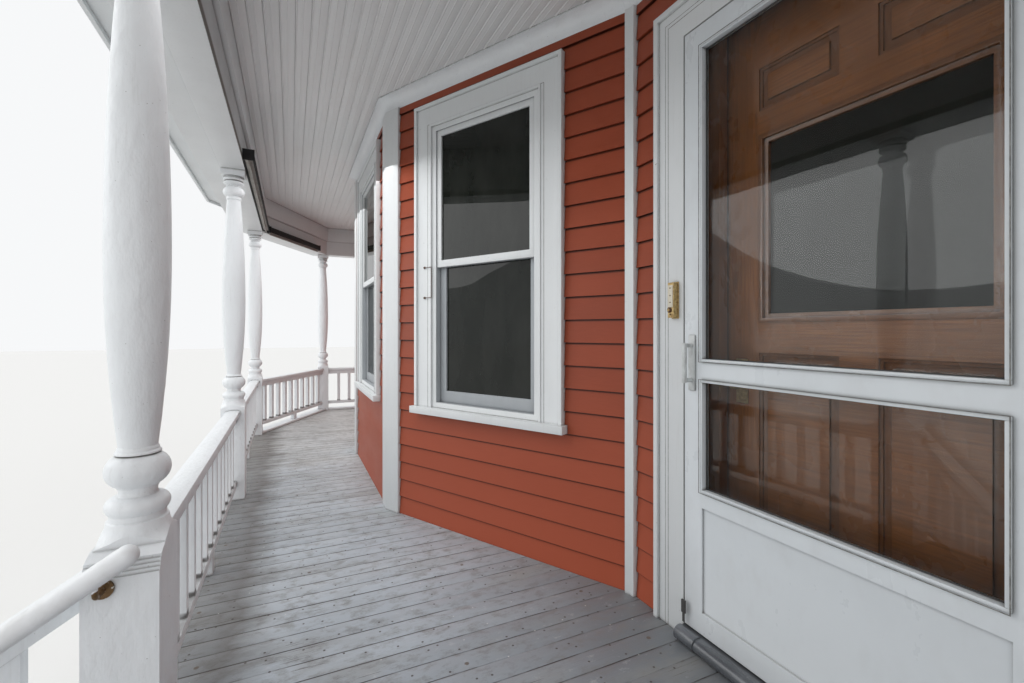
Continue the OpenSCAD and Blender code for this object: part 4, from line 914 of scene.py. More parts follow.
def eased(node, name, finish_name, width=None):
    """A copy of a CAD node with merged points and eased edges, which replaces it."""
    if width is None:
        width = bpy.context.scene.porch_boards.edge
    bm = bmesh.new()
    bm.from_mesh(frame["nodes"][node].data)
    bmesh.ops.remove_doubles(bm, verts=bm.verts, dist=2e-5)
    bmesh.ops.dissolve_degenerate(bm, dist=1e-5, edges=bm.edges)
    if width > 0:
        bmesh.ops.dissolve_limit(bm, angle_limit=math.radians(0.8), verts=bm.verts, edges=bm.edges)
        rounded_edges(bm, width)
    smooth(bm)
    return piece_of(bm, name, finish_name, node)


def add_box(bm, low, high):
    """A box between two corners."""
    made = bmesh.ops.create_cube(bm, size=1)["verts"]
    bmesh.ops.scale(bm, vec=Vector(high) - Vector(low), verts=made)
    bmesh.ops.translate(bm, vec=(Vector(high) + Vector(low)) / 2, verts=made)


def add_rod(bm, start, end, radius, sides=20):
    """A round rod between two points."""
    axis = Vector(end) - Vector(start)
    turn = axis.to_track_quat("Z", "Y").to_matrix().to_4x4()
    place = Matrix.Translation((Vector(start) + Vector(end)) / 2) @ turn
    bmesh.ops.create_cone(bm, cap_ends=True, segments=sides, radius1=radius, radius2=radius,
                          depth=axis.length, matrix=place)


def add_frame(bm, low, high, width):
    """Four bars round an upright opening, from its edge inwards."""
    x0, y0, z0 = low
    x1, y1, z1 = high
    add_box(bm, low, (x1, y1, z0 + width))
    add_box(bm, (x0, y0, z1 - width), high)
    add_box(bm, (x0, y0, z0 + width), (x0 + width, y1, z1 - width))
    add_box(bm, (x1 - width, y0, z0 + width), (x1, y1, z1 - width))


# Geometry Nodes


def new_tree(kind, sizes):
    """A Geometry Nodes tree with its input node, which has sizes of these defaults and a finish."""
    tree = bpy.data.node_groups.new(f"porch_{kind}", "GeometryNodeTree")
    tree.interface.new_socket("Geometry", in_out="INPUT", socket_type="NodeSocketGeometry")
    for label, default in sizes.items():
        number = "NodeSocketInt" if isinstance(default, int) else "NodeSocketFloat"
        tree.interface.new_socket(label, in_out="INPUT", socket_type=number).default_value = default
    tree.interface.new_socket("Finish", in_out="INPUT", socket_type="NodeSocketMaterial")
    tree.interface.new_socket("Geometry", in_out="OUTPUT", socket_type="NodeSocketGeometry")
    net = Net(tree)
    return net, net.node("NodeGroupInput")


def close_tree(net, geometry, source):
    """Ends a tree in Realize Instances and Set Material."""
    real = net.node("GeometryNodeRealizeInstances", None, {"Geometry": geometry})
    done = net.node("GeometryNodeSetMaterial", None,
                    {"Geometry": real, "Material": source.of("Finish")})
    net.node("NodeGroupOutput", None, {"Geometry": done})
    return net.tree


def swept_tree(net, source, profile):
    """Sweeps a closed profile along each edge that comes in."""
    curve = net.node("GeometryNodeMeshToCurve", None, {"Mesh": source.of("Geometry")})
    swept = net.node("GeometryNodeCurveToMesh", None,
                     {"Curve": curve, "Profile Curve": profile, "Fill Caps": True})
    return close_tree(net, swept, source)


def corner_point(net, x, y):
    """A point of a profile from two values or sockets."""
    return net.node("ShaderNodeCombineXYZ", None, {0: x, 1: y})


def clapboard_tree():
    """Sweeps a clapboard along each edge; the street is on the right of the edge."""
    net, source = new_tree("clapboards", {
        "Course": 0.1, "Butt": 0.014, "Top": 0.005, "Lap gap": 0.003})
    top_z = (source.of("Course") - source.of("Lap gap")) * -1.0
    profile = net.node("GeometryNodeCurvePrimitiveQuadrilateral", {"mode": "POINTS"}, {
        "Point 1": corner_point(net, 0.0, 0.0),
        "Point 2": corner_point(net, source.of("Butt"), 0.0),
        "Point 3": corner_point(net, source.of("Top"), top_z),
        "Point 4": corner_point(net, 0.0, top_z)})
    return swept_tree(net, source, profile)


def board_tree():
    """Sweeps a flat board along each edge, with its face up and its edges eased."""
    net, source = new_tree("boards", {"Width": 0.084, "Thickness": 0.025, "Eased edge": 0.002})
    section = net.node("GeometryNodeCurvePrimitiveQuadrilateral", {"mode": "RECTANGLE"},
                       {"Width": source.of("Width"), "Height": source.of("Thickness")})
    profile = net.node("GeometryNodeFilletCurve", {"mode": "POLY"},
                       {"Curve": section, "Count": 2, "Radius": source.of("Eased edge"),
                    "Limit Radius": True})
    return swept_tree(net, source, profile)


def bead_tree():
    """Sweeps a round bead along each edge."""
    net, source = new_tree("beads", {"Radius": 0.004})
    profile = net.node("GeometryNodeCurvePrimitiveCircle", {"mode": "RADIUS"},
                       {"Resolution": 8, "Radius": source.of("Radius")})
    return swept_tree(net, source, profile)


def block_tree():
    """Puts a block on each point, sized and turned by the point's own values."""
    net, source = new_tree("blocks", {
        "Length": 0.2, "Depth": 0.1, "Height": 0.06, "Loose": 0.002, "Seed": SEED})
    size = net.node("ShaderNodeCombineXYZ", None,
                    {0: source.of("Length"), 1: source.of("Depth"), 2: source.of("Height")})
    block = net.node("GeometryNodeMeshCube", None, {"Size": size})
    turn, stretch = (
        net.node("GeometryNodeInputNamedAttribute", {"data_type": "FLOAT_VECTOR"}, {"Name": name})
        for name in ("turn", "stretch"))
    placed = net.node("GeometryNodeInstanceOnPoints", None, {
        "Points": net.node("GeometryNodeMeshToPoints", None, {"Mesh": source.of("Geometry")}),
        "Instance": block, "Rotation": turn, "Scale": stretch})
    slip = net.node("FunctionNodeRandomValue", {"data_type": "FLOAT_VECTOR"}, {
        0: (-1.0, -1.0, -1.0), 1: (1.0, 1.0, 1.0), "Seed": source.of("Seed")})
    moved = net.node("GeometryNodeTranslateInstances", None, {
        "Instances": placed, "Translation": slip * source.of("Loose"), "Local Space": True})
    return close_tree(net, moved, source)


TREES = {"clapboards": clapboard_tree, "boards": board_tree, "beads": bead_tree, "blocks": block_tree}


def grown(kind, points, edges, name, finish_name, values, columns):
    """Runs a tree on points and edges that carry columns of values; the result is a bmesh."""
    tree = bpy.data.node_groups.get(f"porch_{kind}") or TREES[kind]()
    mesh = bpy.data.meshes.new(name)
    mesh.from_pydata(points, edges, [])
    for label, rows in columns.items():
        vector = isinstance(rows[0], tuple)
        data = mesh.attributes.new(label, "FLOAT_VECTOR" if vector else "FLOAT", "POINT").data
        data.foreach_set("vector" if vector else "value",
                         [part for row in rows for part in row] if vector else rows)
    carrier = linked(mesh, name)
    modifier = carrier.modifiers.new("Boards", "NODES")
    modifier.node_group = tree
    names = {item.name: item.identifier for item in tree.interface.items_tree
             if item.item_type == "SOCKET" and item.in_out == "INPUT"}
    for label, value in {**values, "Finish": material(finish_name)}.items():
        modifier[names[label]] = value
    bpy.context.view_layer.update()
    result = bpy.data.meshes.new_from_object(
        carrier.evaluated_get(bpy.context.evaluated_depsgraph_get()))
    bpy.data.objects.remove(carrier)
    bm = bmesh.new()
    bm.from_mesh(result)
    bmesh.ops.recalc_face_normals(bm, faces=bm.faces)
    return bm


class Runs:
    """Straight lines that a tree makes boards or beads of, each with its own tint."""

    def __init__(self):
        self.points, self.edges, self.tints = [], [], []

    def add(self, start, end, tint):
        """Adds a line between two places."""
        self.edges.append((len(self.points), len(self.points) + 1))
        self.points += [start, end]
        self.tints += [tint, tint]

    def grow(self, kind, name, finish_name, values):
        """The boards of all lines, as a bmesh."""
        return grown(kind, self.points, self.edges, name, finish_name, values, {"tint": self.tints})


class Blocks:
    """Places of loose blocks, each with its own turn, stretch and tint."""

    def __init__(self):
        self.points = []
        self.columns = {"turn": [], "stretch": [], "tint": []}

    def add(self, place, **values):
        """Adds a block at a place."""
        self.points.append(place)
        for label, column in self.columns.items():
            column.append(values[label])

    def grow(self, name, finish_name, values):
        """All blocks, as a bmesh."""
        return grown("blocks", self.points, [], name, finish_name, values, self.columns)


# Plan helpers


def along(line, i):
    """Direction of stretch i of a plan line."""
    return (line[i + 1] - line[i]).normalized()


def street(direction):
    """The street side of a direction."""
    return Vector((direction.y, -direction.x))


def corner(line, i, out):
    """Corner i of a plan line, moved out towards the street and mitred."""
    before = street(along(line, max(i - 1, 0)))
    after = street(along(line, min(i, len(line) - 2)))
    return line[i] + (before + after) * (out / (1 + before.dot(after)))


def crossing(line, i, out, y):
    """Where stretch i of a plan line, moved out, crosses the level y."""
    direction = along(line, i)
    start = line[i] + street(direction) * out
    return start.x + direction.x * (y - start.y) / direction.y


def on_stretch(line, i):
    """Turns places given as along, inwards and up on stretch i of a plan line into the frame's."""
    direction = along(line, i)
    inward = -street(direction)
    return Matrix(((direction.x, inward.x, 0, line[i].x), (direction.y, inward.y, 0, line[i].y),
                   (0, 0, 1, 0), (0, 0, 0, 1)))


def length_of(line, i):
    """Length of stretch i of a plan line."""
    return (line[i + 1] - line[i]).length


def join_on_stretch(part, whole, line, i):
    """Adds a part that is made along, inwards and up from a stretch of a plan line to a whole."""
    bmesh.ops.transform(part, matrix=on_stretch(line, i), verts=part.verts)
    mesh = bpy.data.meshes.new("part")
    part.to_mesh(mesh)
    part.free()
    whole.from_mesh(mesh)
    bpy.data.meshes.remove(mesh)


# Clapboards


def window_span(stretch):
    """Where the window of a wall stretch starts and ends along it, with its sill and head."""
    node = WINDOWS[stretch]
    to_wall = on_stretch(WALL_LINE, stretch).inverted()
    places = [(to_wall @ vertex.co).x for vertex in frame["nodes"][node].data.vertices]
    centre = (min(places) + max(places)) / 2
    half = (max(places) - min(places)) / 2 - CASING_W
    low, high = SIZES[node]
    return centre - half, centre + half, low.z + SILL_T, high.z - CASING_W


def clapboard_runs(stretch):
    """The clapboards of a wall stretch, as start and end along it and height."""
    boards = bpy.context.scene.porch_boards
    under_head, under_casing, under_crown = 0.012, 0.03, 0.11
    holes = []
    if stretch in WINDOWS:
        start, end, sill_z, head_z = window_span(stretch)
        holes.append((start, end, sill_z, head_z + under_head))
    if stretch == 4:
        start = WALL_LINE[4].x
        holes.append((side("door_frame", "x", False) - start + under_casing,
                      side("door_frame", "x", True) - start - under_casing,
                      0, side("door_frame", "z", True) - under_crown))
    spans_up = []
    z = DECK_Z
    while z + boards.course < CEILING_Z + 0.02:
        spans = [(0, length_of(WALL_LINE, stretch))]
        for low_x, high_x, low_z, high_z in holes:
            if z < high_z and z + boards.course > low_z:
                spans = [cut for a, b in spans for cut in ((a, min(b, low_x)), (max(a, high_x), b))
                         if cut[1] - cut[0] > 0.01]
        spans_up += [(a, b, z) for a, b in spans]
        z += boards.course
    return spans_up


def lay_clapboards(stretch, name):
    """Clapboards on one stretch of the wall."""
    boards = bpy.context.scene.porch_boards
    rng = random.Random(SEED + stretch)
    runs = Runs()
    origin, direction = WALL_LINE[stretch], along(WALL_LINE, stretch)
    for start, end, z in clapboard_runs(stretch):
        first, last = (origin + direction * place for place in (start, end))
        runs.add((*first, z), (*last, z), rng.random())
    bm = runs.grow("clapboards", name, "siding_paint", {
        "Course": boards.course, "Butt": boards.butt, "Top": boards.butt * 0.35,
        "Lap gap": boards.lap_gap})
    flat(bm)
    fixed_piece(bm, name, "siding_paint", "siding")


class PORCH_OT_clapboards(bpy.types.Operator):
    """Clapboards on the house wall and the bay"""

    bl_idname = "porch.clapboards"
    bl_label = "Clapboards"

    def execute(self, context):
        for stretch, name in enumerate(
                ("clapboards_far", "clapboards_bay_far", "clapboards_bay_front",
                 "clapboards_bay_near", "clapboards_door")):
            lay_clapboards(stretch, name)
        return {"FINISHED"}


# Floor and ceiling


def wall_y(x):
    """Depth at which a floor board at x ends under the wall, towards the house."""
    inside = 0.05
    if WALL_LINE[1].x < x < WALL_LINE[4].x:
        ramp = min(x - WALL_LINE[1].x, WALL_LINE[4].x - x) * math.tan(TURN)
        return max(BAY_Y, -ramp) + inside
    return 0.0


def floor_pitch():
    """Width of a floor board with its gap, so that whole boards fill the floor."""
    width = side("deck", "x", True) - side("deck", "x", False)
    return width / round(width / bpy.context.scene.porch_boards.floor_board)


class PORCH_OT_floor_boards(bpy.types.Operator):
    """Floor boards of the porch, laid towards the street"""

    bl_idname = "porch.floor_boards"
    bl_label = "Floor boards"

    def execute(self, context):
        boards = context.scene.porch_boards
        rng = random.Random(SEED + 20)
        left, right = side("deck", "x", False), side("deck", "x", True)
        front = side("deck", "y", False)
        pitch = floor_pitch()
        count = round((right - left) / pitch)
        runs = Runs()
        for k in range(count):
            x = left + (k + 0.5) * pitch
            shift = rng.uniform(-0.0004, 0.0004) if 0 < k < count - 1 else 0
            z = DECK_Z - DECK_T / 2 - rng.uniform(0, 0.0008)
            runs.add((x + shift, front, z), (x + shift, wall_y(x), z), rng.random())
        bm = runs.grow("boards", "floor_boards", "floor_paint", {
            "Width": pitch - boards.floor_gap, "Thickness": DECK_T, "Eased edge": 0.0007})
        normal = street(along(EDGE_LINE, 1))
        cut = cut_outside(bm, (EDGE_LINE[1] + normal * DECK_OVER).to_3d(), normal.to_3d())
        bmesh.ops.holes_fill(bm, edges=cut, sides=0)
        smooth(bm)
        piece_of(bm, "floor_boards", "floor_paint", "deck")
        return {"FINISHED"}


class PORCH_OT_ceiling_boards(bpy.types.Operator):
    """Beaded boards of the porch ceiling, laid along the house"""

    bl_idname = "porch.ceiling_boards"
    bl_label = "Ceiling boards"

    def execute(self, context):
        boards = context.scene.porch_boards
        rng = random.Random(SEED + 40)
        over_beam, over_wall = 0.02, 0.10
        inner = over_beam - BEAM_IN
        pitch = boards.ceiling_board
        near_x = corner(EDGE_LINE, 3, inner).x
        far_x = corner(EDGE_LINE, 0, inner).x
        board_runs, joint_runs, middle_runs = Runs(), Runs(), Runs()
        for k in range(math.ceil(boards.ceiling_joint / pitch) + 1):
            y = (k - 0.5) * pitch - boards.ceiling_joint
            start = far_x
            if y < EDGE_LINE[1].y:
                start = max(far_x, crossing(EDGE_LINE, 1, inner, y))
            spans = [(start, near_x)]
            if y > BAY_Y:
                into = over_wall / math.sin(TURN)
                spans = [(start, crossing(WALL_LINE, 1, 0, min(y, -0.01)) + into),
                         (crossing(WALL_LINE, 3, 0, min(y, -0.01)) - into, near_x)]
            tint = rng.random()
            by_joint = y - pitch / 2 + boards.ceiling_bead * 1.5
            for runs, place_y, z in (
                    (board_runs, y, CEILING_Z + CEILING_T / 2),
                    (joint_runs, by_joint, CEILING_Z + 0.0006),
                    (middle_runs, y, CEILING_Z + boards.ceiling_bead * 0.55)):
                for a, b in spans:
                    runs.add((a, place_y, z), (b, place_y, z), tint)
        bm = board_runs.grow("boards", "ceiling_boards", "ceiling_paint", {
            "Width": pitch - 0.0008, "Thickness": CEILING_T, "Eased edge": 0.0016})
        smooth(bm)
        piece_of(bm, "ceiling_boards", "ceiling_paint", "porch_ceiling")
        for name, runs in (("ceiling_joint_beads", joint_runs), ("ceiling_middle_beads", middle_runs)):
            bm = runs.grow("beads", name, "ceiling_paint", {"Radius": boards.ceiling_bead})
            smooth(bm, math.radians(60))
            fixed_piece(bm, name, "ceiling_paint", "ceiling_paint")
        return {"FINISHED"}


class PORCH_OT_frieze(bpy.types.Operator):
    """Frieze board between the beam's inner face and the ceiling"""

    bl_idname = "porch.frieze"
    bl_label = "Frieze board"

    def execute(self, context):
        thick = 0.024
        low_z = CEILING_Z - context.scene.porch_boards.frieze
        bm = bmesh.new()
        rows = []
        for out in (-BEAM_IN - thick, -BEAM_IN + 0.002):
            for z in (low_z, CEILING_Z + 0.002):
                spots = [corner(EDGE_LINE, i, out) for i in range(len(EDGE_LINE))]
                rows.append([bm.verts.new((spot.x, spot.y, z)) for spot in spots])
        inner_low, inner_high, outer_low, outer_high = rows
        for i in range(len(EDGE_LINE) - 1):
            for first, second in ((inner_low, inner_high), (inner_high, outer_high),
                                  (outer_high, outer_low), (outer_low, inner_low)):
                bm.faces.new((first[i], first[i + 1], second[i + 1], second[i]))
        for i in (0, -1):
            bm.faces.new([row[i] for row in (inner_low, inner_high, outer_high, outer_low)])
        bmesh.ops.recalc_face_normals(bm, faces=bm.faces)
        rounded_edges(bm, 0.003)
        fixed_piece(bm, "frieze_board", "trim_paint", "ceiling_paint")
        return {"FINISHED"}


# Roof and piers


def roof_slope():
    """Rise over run of the roof, from its node's box."""
    low, high = SIZES["roof"]
    return (high.z - low.z - ROOF_UP) / -low.y


class PORCH_OT_roof_shingles(bpy.types.Operator):
    """Shingles in courses on the four slopes of the roof"""

    bl_idname = "porch.roof_shingles"
    bl_label = "Roof shingles"

    def execute(self, context):
        boards = context.scene.porch_boards
        rng = random.Random(SEED + 60)
        slope = roof_slope()
        pitch = math.atan(slope)
        low = SIZES["roof"][0]
        eave_out = EDGE_LINE[2].y - low.y
        run = boards.shingle * math.cos(pitch)
        tab, tab_gap, lap, thick, tilt = 0.30, 0.006, 0.045, 0.005, 0.012
        for i, name in enumerate(("far", "slanted", "front", "near")):
            direction = along(EDGE_LINE, i)
            inward = -street(direction)
            start = corner(EDGE_LINE, i, eave_out)
            length = (corner(EDGE_LINE, i + 1, eave_out) - start).length
            blocks = Blocks()
            for row in range(int((0.5 - low.y) / run)):
                shift = (row % 2) * tab / 2
                for k in range(-1, int(length / tab) + 2):
                    place = start + direction * (k * tab + shift) + inward * (row * run + run / 2 + 0.03)
                    away = (place - start).dot(inward)
                    blocks.add((place.x, place.y, low.z + ROOF_UP + away * slope + 0.004),
                               turn=(pitch + tilt, 0, math.atan2(direction.y, direction.x)),
                               stretch=(1.0, 1.0, rng.uniform(0.8, 1.3)), tint=rng.random())
            bm = blocks.grow(f"shingles_{name}", "roof_shingles", {
                "Length": tab - tab_gap, "Depth": boards.shingle + lap, "Height": thick,
                "Loose": 0.001, "Seed": SEED + i})
            for j, facing in ((i, -1), (i + 1, 1)):
                if 0 < j < len(EDGE_LINE) - 1:
                    hip = corner(EDGE_LINE, j, eave_out)
                    split = (along(EDGE_LINE, j) + along(EDGE_LINE, j - 1)).normalized() * facing
                    cut_outside(bm, hip.to_3d(), split.to_3d())
            cut_outside(bm, (0, -0.004, 0), (0, 1, 0))
            flat(bm)
            fixed_piece(bm, f"shingles_{name}", "roof_shingles", "roof_shingle")
        return {"FINISHED"}


class PORCH_OT_pier_bricks(bpy.types.Operator):
    """Bricks on the faces of the piers"""

    bl_idname = "porch.pier_bricks"
    bl_label = "Pier bricks"

    def execute(self, context):
        rng = random.Random(SEED + 80)
        brick_l, brick_h, brick_d, joint, proud = 0.118, 0.057, 0.04, 0.008, 0.004
        whole_places, broken_places, broken = (-0.0625, 0.0625), (-0.094, 0.0, 0.094), 0.46
        blocks = Blocks()
        node = frame["nodes"]["porch_piers"]
        spots = {(round(vertex.co.x, 3), round(vertex.co.y, 3)) for vertex in node.data.vertices}
        piers = sorted({(x, y) for x, y in spots
                        if (round(x + PIER_W, 3), round(y + PIER_W, 3)) in spots})
        top = side("porch_piers", "z", True)
        rows = round(top / (brick_h + joint))
        row_h = top / rows
        for x0, y0 in piers:
            for row in range(rows):
                for face in range(4):
                    turn = face * math.pi / 2
                    across = Vector((math.cos(turn), math.sin(turn)))
                    half = PIER_W / 2
                    out = half - brick_d / 2 + proud
                    face_middle = Vector((x0 + half, y0 + half)) + street(across) * out
                    for place in broken_places if row % 2 else whole_places:
                        wide = broken if row % 2 and place else 1.0
                        spot = face_middle + across * place
                        blocks.add((spot.x, spot.y, (row + 0.5) * row_h), turn=(0, 0, turn),
                                   stretch=(wide, 1.0, 1.0), tint=rng.random())
        bm = blocks.grow("pier_bricks", "pier_brick", {
            "Length": brick_l, "Depth": brick_d, "Height": row_h - joint, "Loose": 0.0012,
            "Seed": SEED})
        flat(bm)
        fixed_piece(bm, "pier_bricks", "pier_brick", "pier_brick")
        return {"FINISHED"}


# Trim and posts


class PORCH_OT_trim(bpy.types.Operator):
    """White trim, rails and steps with eased edges"""

    bl_idname = "porch.trim"
    bl_label = "Trim, rails and steps"

    def execute(self, context):
        for finish_name, nodes in {
                "trim_paint": ("corner_trim", "skirt_panels", "eave_trim"),
                "post_paint": ("stair_stringers", "stair_risers", "stair_newels", "stair_rails"),
                "rail_paint": ("rail_near_end", "rail_near_front", "rail_front_1", "rail_front_2",
                               "rail_slanted", "rail_far_end")}.items():
            for node in nodes:
                eased(node, f"{node}_wood", finish_name)
        beam = eased("porch_beam", "porch_beam_wood", "trim_paint", 0.0035)
        runs = [on_stretch(EDGE_LINE, i).inverted() for i in (2, 3)]
        painted(beam, "shaded_beam_face", lambda place, normal: any(
            abs((run @ place).y - BEAM_IN) < 0.0015 and (run.to_3x3() @ normal).y > 0.9 for run in runs))
        joists = eased("deck_frame", "deck_joists", "bare_timber", 0.003)
        low, high = SIZES["deck_frame"]
        rim, slanted = 0.06, on_stretch(EDGE_LINE, 1).inverted()
        painted(joists, "trim_paint", lambda place, normal: normal.z > -0.5 and (
            place.y < low.y + rim or place.x > high.x - rim or place.x < low.x + rim
            or (slanted @ place).y < 0.02))
        eased("stair_treads", "stair_tread_boards", "tread_paint", 0.007)
        return {"FINISHED"}


class PORCH_OT_posts(bpy.types.Operator):
    """Turned posts and the crown moulding with smooth faces"""

    bl_idname = "porch.posts"
    bl_label = "Turned posts"

    def execute(self, context):
        for node in ("post_near_corner", "post_stair_near", "post_stair_far", "post_front",
                     "post_turn", "post_far_end"):
            eased(node, f"{node}_turned", "post_paint", 0)
        eased("crown_moulding", "crown_moulding_smooth", "post_paint", 0)
        return {"FINISHED"}


# Doors


def outline_of(bm, x0, x1, z0, z1, y, width, bottom=True):
    """Thin dark lines of grime and painted shade just inside an upright rectangle, standing a hair out
    of the face at y.
    """
    low, high = y - 0.0003, y + 0.0008
    add_box(bm, (x0, low, z0), (x0 + width, high, z1))
    add_box(bm, (x1 - width, low, z0), (x1, high, z1))
    add_box(bm, (x0 + width, low, z1 - width), (x1 - width, high, z1))
    if bottom:
        add_box(bm, (x0 + width, low, z0), (x1 - width, high, z0 + width))


class PORCH_OT_doorway(bpy.types.Operator):
    """Casings, stops and threshold round the doorway"""

    bl_idname = "porch.doorway"
    bl_label = "Doorway"

    def execute(self, context):
        door_frame = eased("door_frame", "door_frame_wood", "trim_paint")
        inner_y = side("front_door", "y", False) - 0.05
        painted(door_frame, "varnished_wood", lambda place, normal: (
            place.y > inner_y and abs(place.x) < side("storm_door", "x", True) + 0.01
            and place.z < side("storm_door", "z", True) and normal.y < 0.5))
        eased("threshold", "threshold_sill", "threshold_paint", 0)
        start, stop = SIZES["threshold"]
        half = (stop.z - start.z) / 2
        sleeve_t, sleeve_l = 0.003, 0.085
        sleeve = bmesh.new()
        add_rod(sleeve, (start.x + 0.0005, start.y + half, start.z + half + sleeve_t),
                (start.x + sleeve_l, start.y + half, start.z + half + sleeve_t), half + sleeve_t, 40)
        rounded_edges(sleeve, 0.0012)
        fixed_piece(sleeve, "threshold_sleeve", "threshold_paint", slot_of_node("threshold"))
        low, high = SIZES["door_frame"]
        face = low.y + 0.012
        lines = bmesh.new()
        # dark lines of grime and painted shade in the casing's grooves
        for band, width in ((0.020, 0.0022), (0.052, 0.0016), (0.066, 0.0022)):
            outline_of(lines, low.x + band, high.x - band, low.z, high.z - band, face, width, False)
        flat(lines)
        fixed_piece(lines, "door_casing_joints", "joint_grime_and_shade", slot_of_node("door_frame"))
        return {"FINISHED"}


class PORCH_OT_storm_door(bpy.types.Operator):
    """Storm door with glass stops, rubber strips, handle and hinges"""

    bl_idname = "porch.storm_door"
    bl_label = "Storm door"

    def execute(self, context):
        eased("storm_door", "storm_door_enamel", "storm_enamel")
        eased("storm_door_handle", "storm_door_pull", "handle_enamel", 0.0012)
        eased("door_hinges", "door_hinges_smooth", "hinge_paint", 0)
        node = frame["nodes"]["storm_door_glass"]
        heights = sorted({round(vertex.co.z, 4) for vertex in node.data.vertices})
        low, high = SIZES["storm_door_glass"]
        front = side("storm_door", "y", False)
        stop_w, inset, strip_w, line_w, panel_in = 0.009, 0.0085, 0.0035, 0.0018, 0.010
        stops, strips, lines, clip = (bmesh.new() for _ in range(4))
        for z0, z1 in (heights[:2], heights[2:]):
            add_frame(stops, (low.x, front + 0.005, z0), (high.x, low.y, z1), stop_w)
            add_frame(stops, (low.x, high.y, z0), (high.x, high.y + 0.006, z1), stop_w)
            add_frame(strips, (low.x + inset, low.y - strip_w, z0 + inset),
                      (high.x - inset, low.y, z1 - inset), strip_w)
            # dark lines of grime and painted shade round each glass
            outline_of(lines, low.x - line_w, high.x + line_w, z0 - line_w, z1 + line_w, front, line_w)
        panel = [vertex.co for vertex in frame["nodes"]["storm_door"].data.vertices
                 if abs(vertex.co.y - front - panel_in) < 0.001 and vertex.co.z < heights[0] - 0.02]
        # and round the sunk panel
        outline_of(lines, min(spot.x for spot in panel), max(spot.x for spot in panel),
                   min(spot.z for spot in panel), max(spot.z for spot in panel),
                   front + panel_in, 0.0030)
        flat(lines)
        latch_x, foot = side("storm_door", "x", False), side("storm_door", "z", False)
        for (x0, x1), out, (z0, z1) in (((0.002, 0.020), 0.006, (0.045, 0.090)),
                                        ((0.004, 0.014), 0.003, (0.012, 0.047))):
            add_box(clip, (latch_x + x0, front - out, foot + z0),
                    (latch_x + x1, front + 0.001, foot + z1))
        rounded_edges(clip, 0.0025, 3)
        rounded_edges(stops, 0.0015)
        rounded_edges(strips, 0.0008)
        for bm, name, finish_name in ((lines, "storm_door_joints", "joint_grime_and_shade"),
                                      (clip, "storm_door_foot_clip", "door_gasket"),
                                      (stops, "storm_glass_stops", "storm_enamel"),
                                      (strips, "storm_glass_strips", "door_gasket")):
            fixed_piece(bm, name, finish_name, slot_of_node("storm_door"), "storm_door")
        return {"FINISHED"}


class PORCH_OT_inner_door(bpy.types.Operator):
    """Varnished inner door and its metalwork"""

    bl_idname = "porch.inner_door"
    bl_label = "Inner door"

    def execute(self, context):
        eased("front_door", "front_door_wood", "varnished_wood", 0.0015)
        eased("front_door_hardware", "front_door_brass", "worn_brass", 0)
        return {"FINISHED"}


class PORCH_OT_doorbell(bpy.types.Operator):
    """Brass box of the doorbell with a cream strip, screws and a small button"""

    bl_idname = "porch.doorbell"
    bl_label = "Doorbell"

    def execute(self, context):
        low, high = SIZES["doorbell"]
        x, wall = middle("doorbell").x, high.y
        face = wall - 0.024
        half, plate, strip_half = 0.0145, 0.003, 0.0115
        button_x, button_z = x - 0.004, low.z + 0.028
        box, strip, screws, button = (bmesh.new() for _ in range(4))
        add_box(box, (x - half, face, low.z), (x + half, wall, high.z))
        add_box(box, (x - half - plate, wall - plate, low.z - plate),
                (x + half + plate, wall, high.z + plate))
        rounded_edges(box, 0.0028, 3)
        piece_of(box, "doorbell_box", "worn_brass", "doorbell")
        add_box(strip, (x - strip_half, face - 0.002, low.z + 0.038),
                (x + strip_half, face + 0.001, high.z - 0.010))
        for z in (low.z + 0.012, low.z + 0.055, low.z + 0.080, high.z - 0.020):
            add_rod(screws, (x, face - 0.0032, z), (x, face, z), 0.0026, 12)
        add_rod(screws, (button_x, face - 0.004, button_z), (button_x, face + 0.001, button_z), 0.0095)
        add_rod(button, (button_x, face - 0.008, button_z), (button_x, face, button_z), 0.0055)
        for bm, name, finish_name, edge in ((strip, "doorbell_strip", "cream_plate", 0.0009),
                                            (screws, "doorbell_screws", "rusty_iron", 0.0007),
                                            (button, "doorbell_button", "worn_brass", 0.0012)):
            rounded_edges(bm, edge)
            fixed_piece(bm, name, finish_name, slot_of_node("doorbell"))
        return {"FINISHED"}


# Windows


def depth_in_wall(place):
    """How far a place on the bay lies inside the outer face of its wall."""
    stretch = 3 if place.x > BAY_NEAR_X else 1 if place.x < BAY_FAR_X else 2
    return (on_stretch(WALL_LINE, stretch).inverted() @ place).y


class PORCH_OT_windows(bpy.types.Operator):
    """Window frames and sashes; the lower sashes and the tracks are blue grey"""

    bl_idname = "porch.windows"
    bl_label = "Windows"

    def execute(self, context):
        for node in WINDOWS.values():
            casing = eased(node, f"{node}_wood", "trim_paint")
            painted(casing, "sash_shade", lambda place, normal: depth_in_wall(place) > 0.0)
        lines = bmesh.new()
        for stretch in WINDOWS:
            start, end, sill_z, head_z = window_span(stretch)
            part = bmesh.new()
            # dark lines of grime and painted shade in the casing's grooves and round the sashes
            for band in (CASING_W - 0.018, 0.0144):
                outline_of(part, start - band, end + band, sill_z, head_z + band, -CASING_OUT, 0.0024,
                           False)
            outline_of(part, start, end, sill_z, head_z, 0.006 - CASING_OUT, 0.0030)
            join_on_stretch(part, lines, WALL_LINE, stretch)
        flat(lines)
        fixed_piece(lines, "window_casing_joints", "joint_grime_and_shade", slot_of_node("window_near_frame"))
        sashes = eased("window_sashes", "window_sashes_wood", "trim_paint")
        painted(sashes, "sash_shade", lambda place, normal: depth_in_wall(place) > 0.0125)
        return {"FINISHED"}


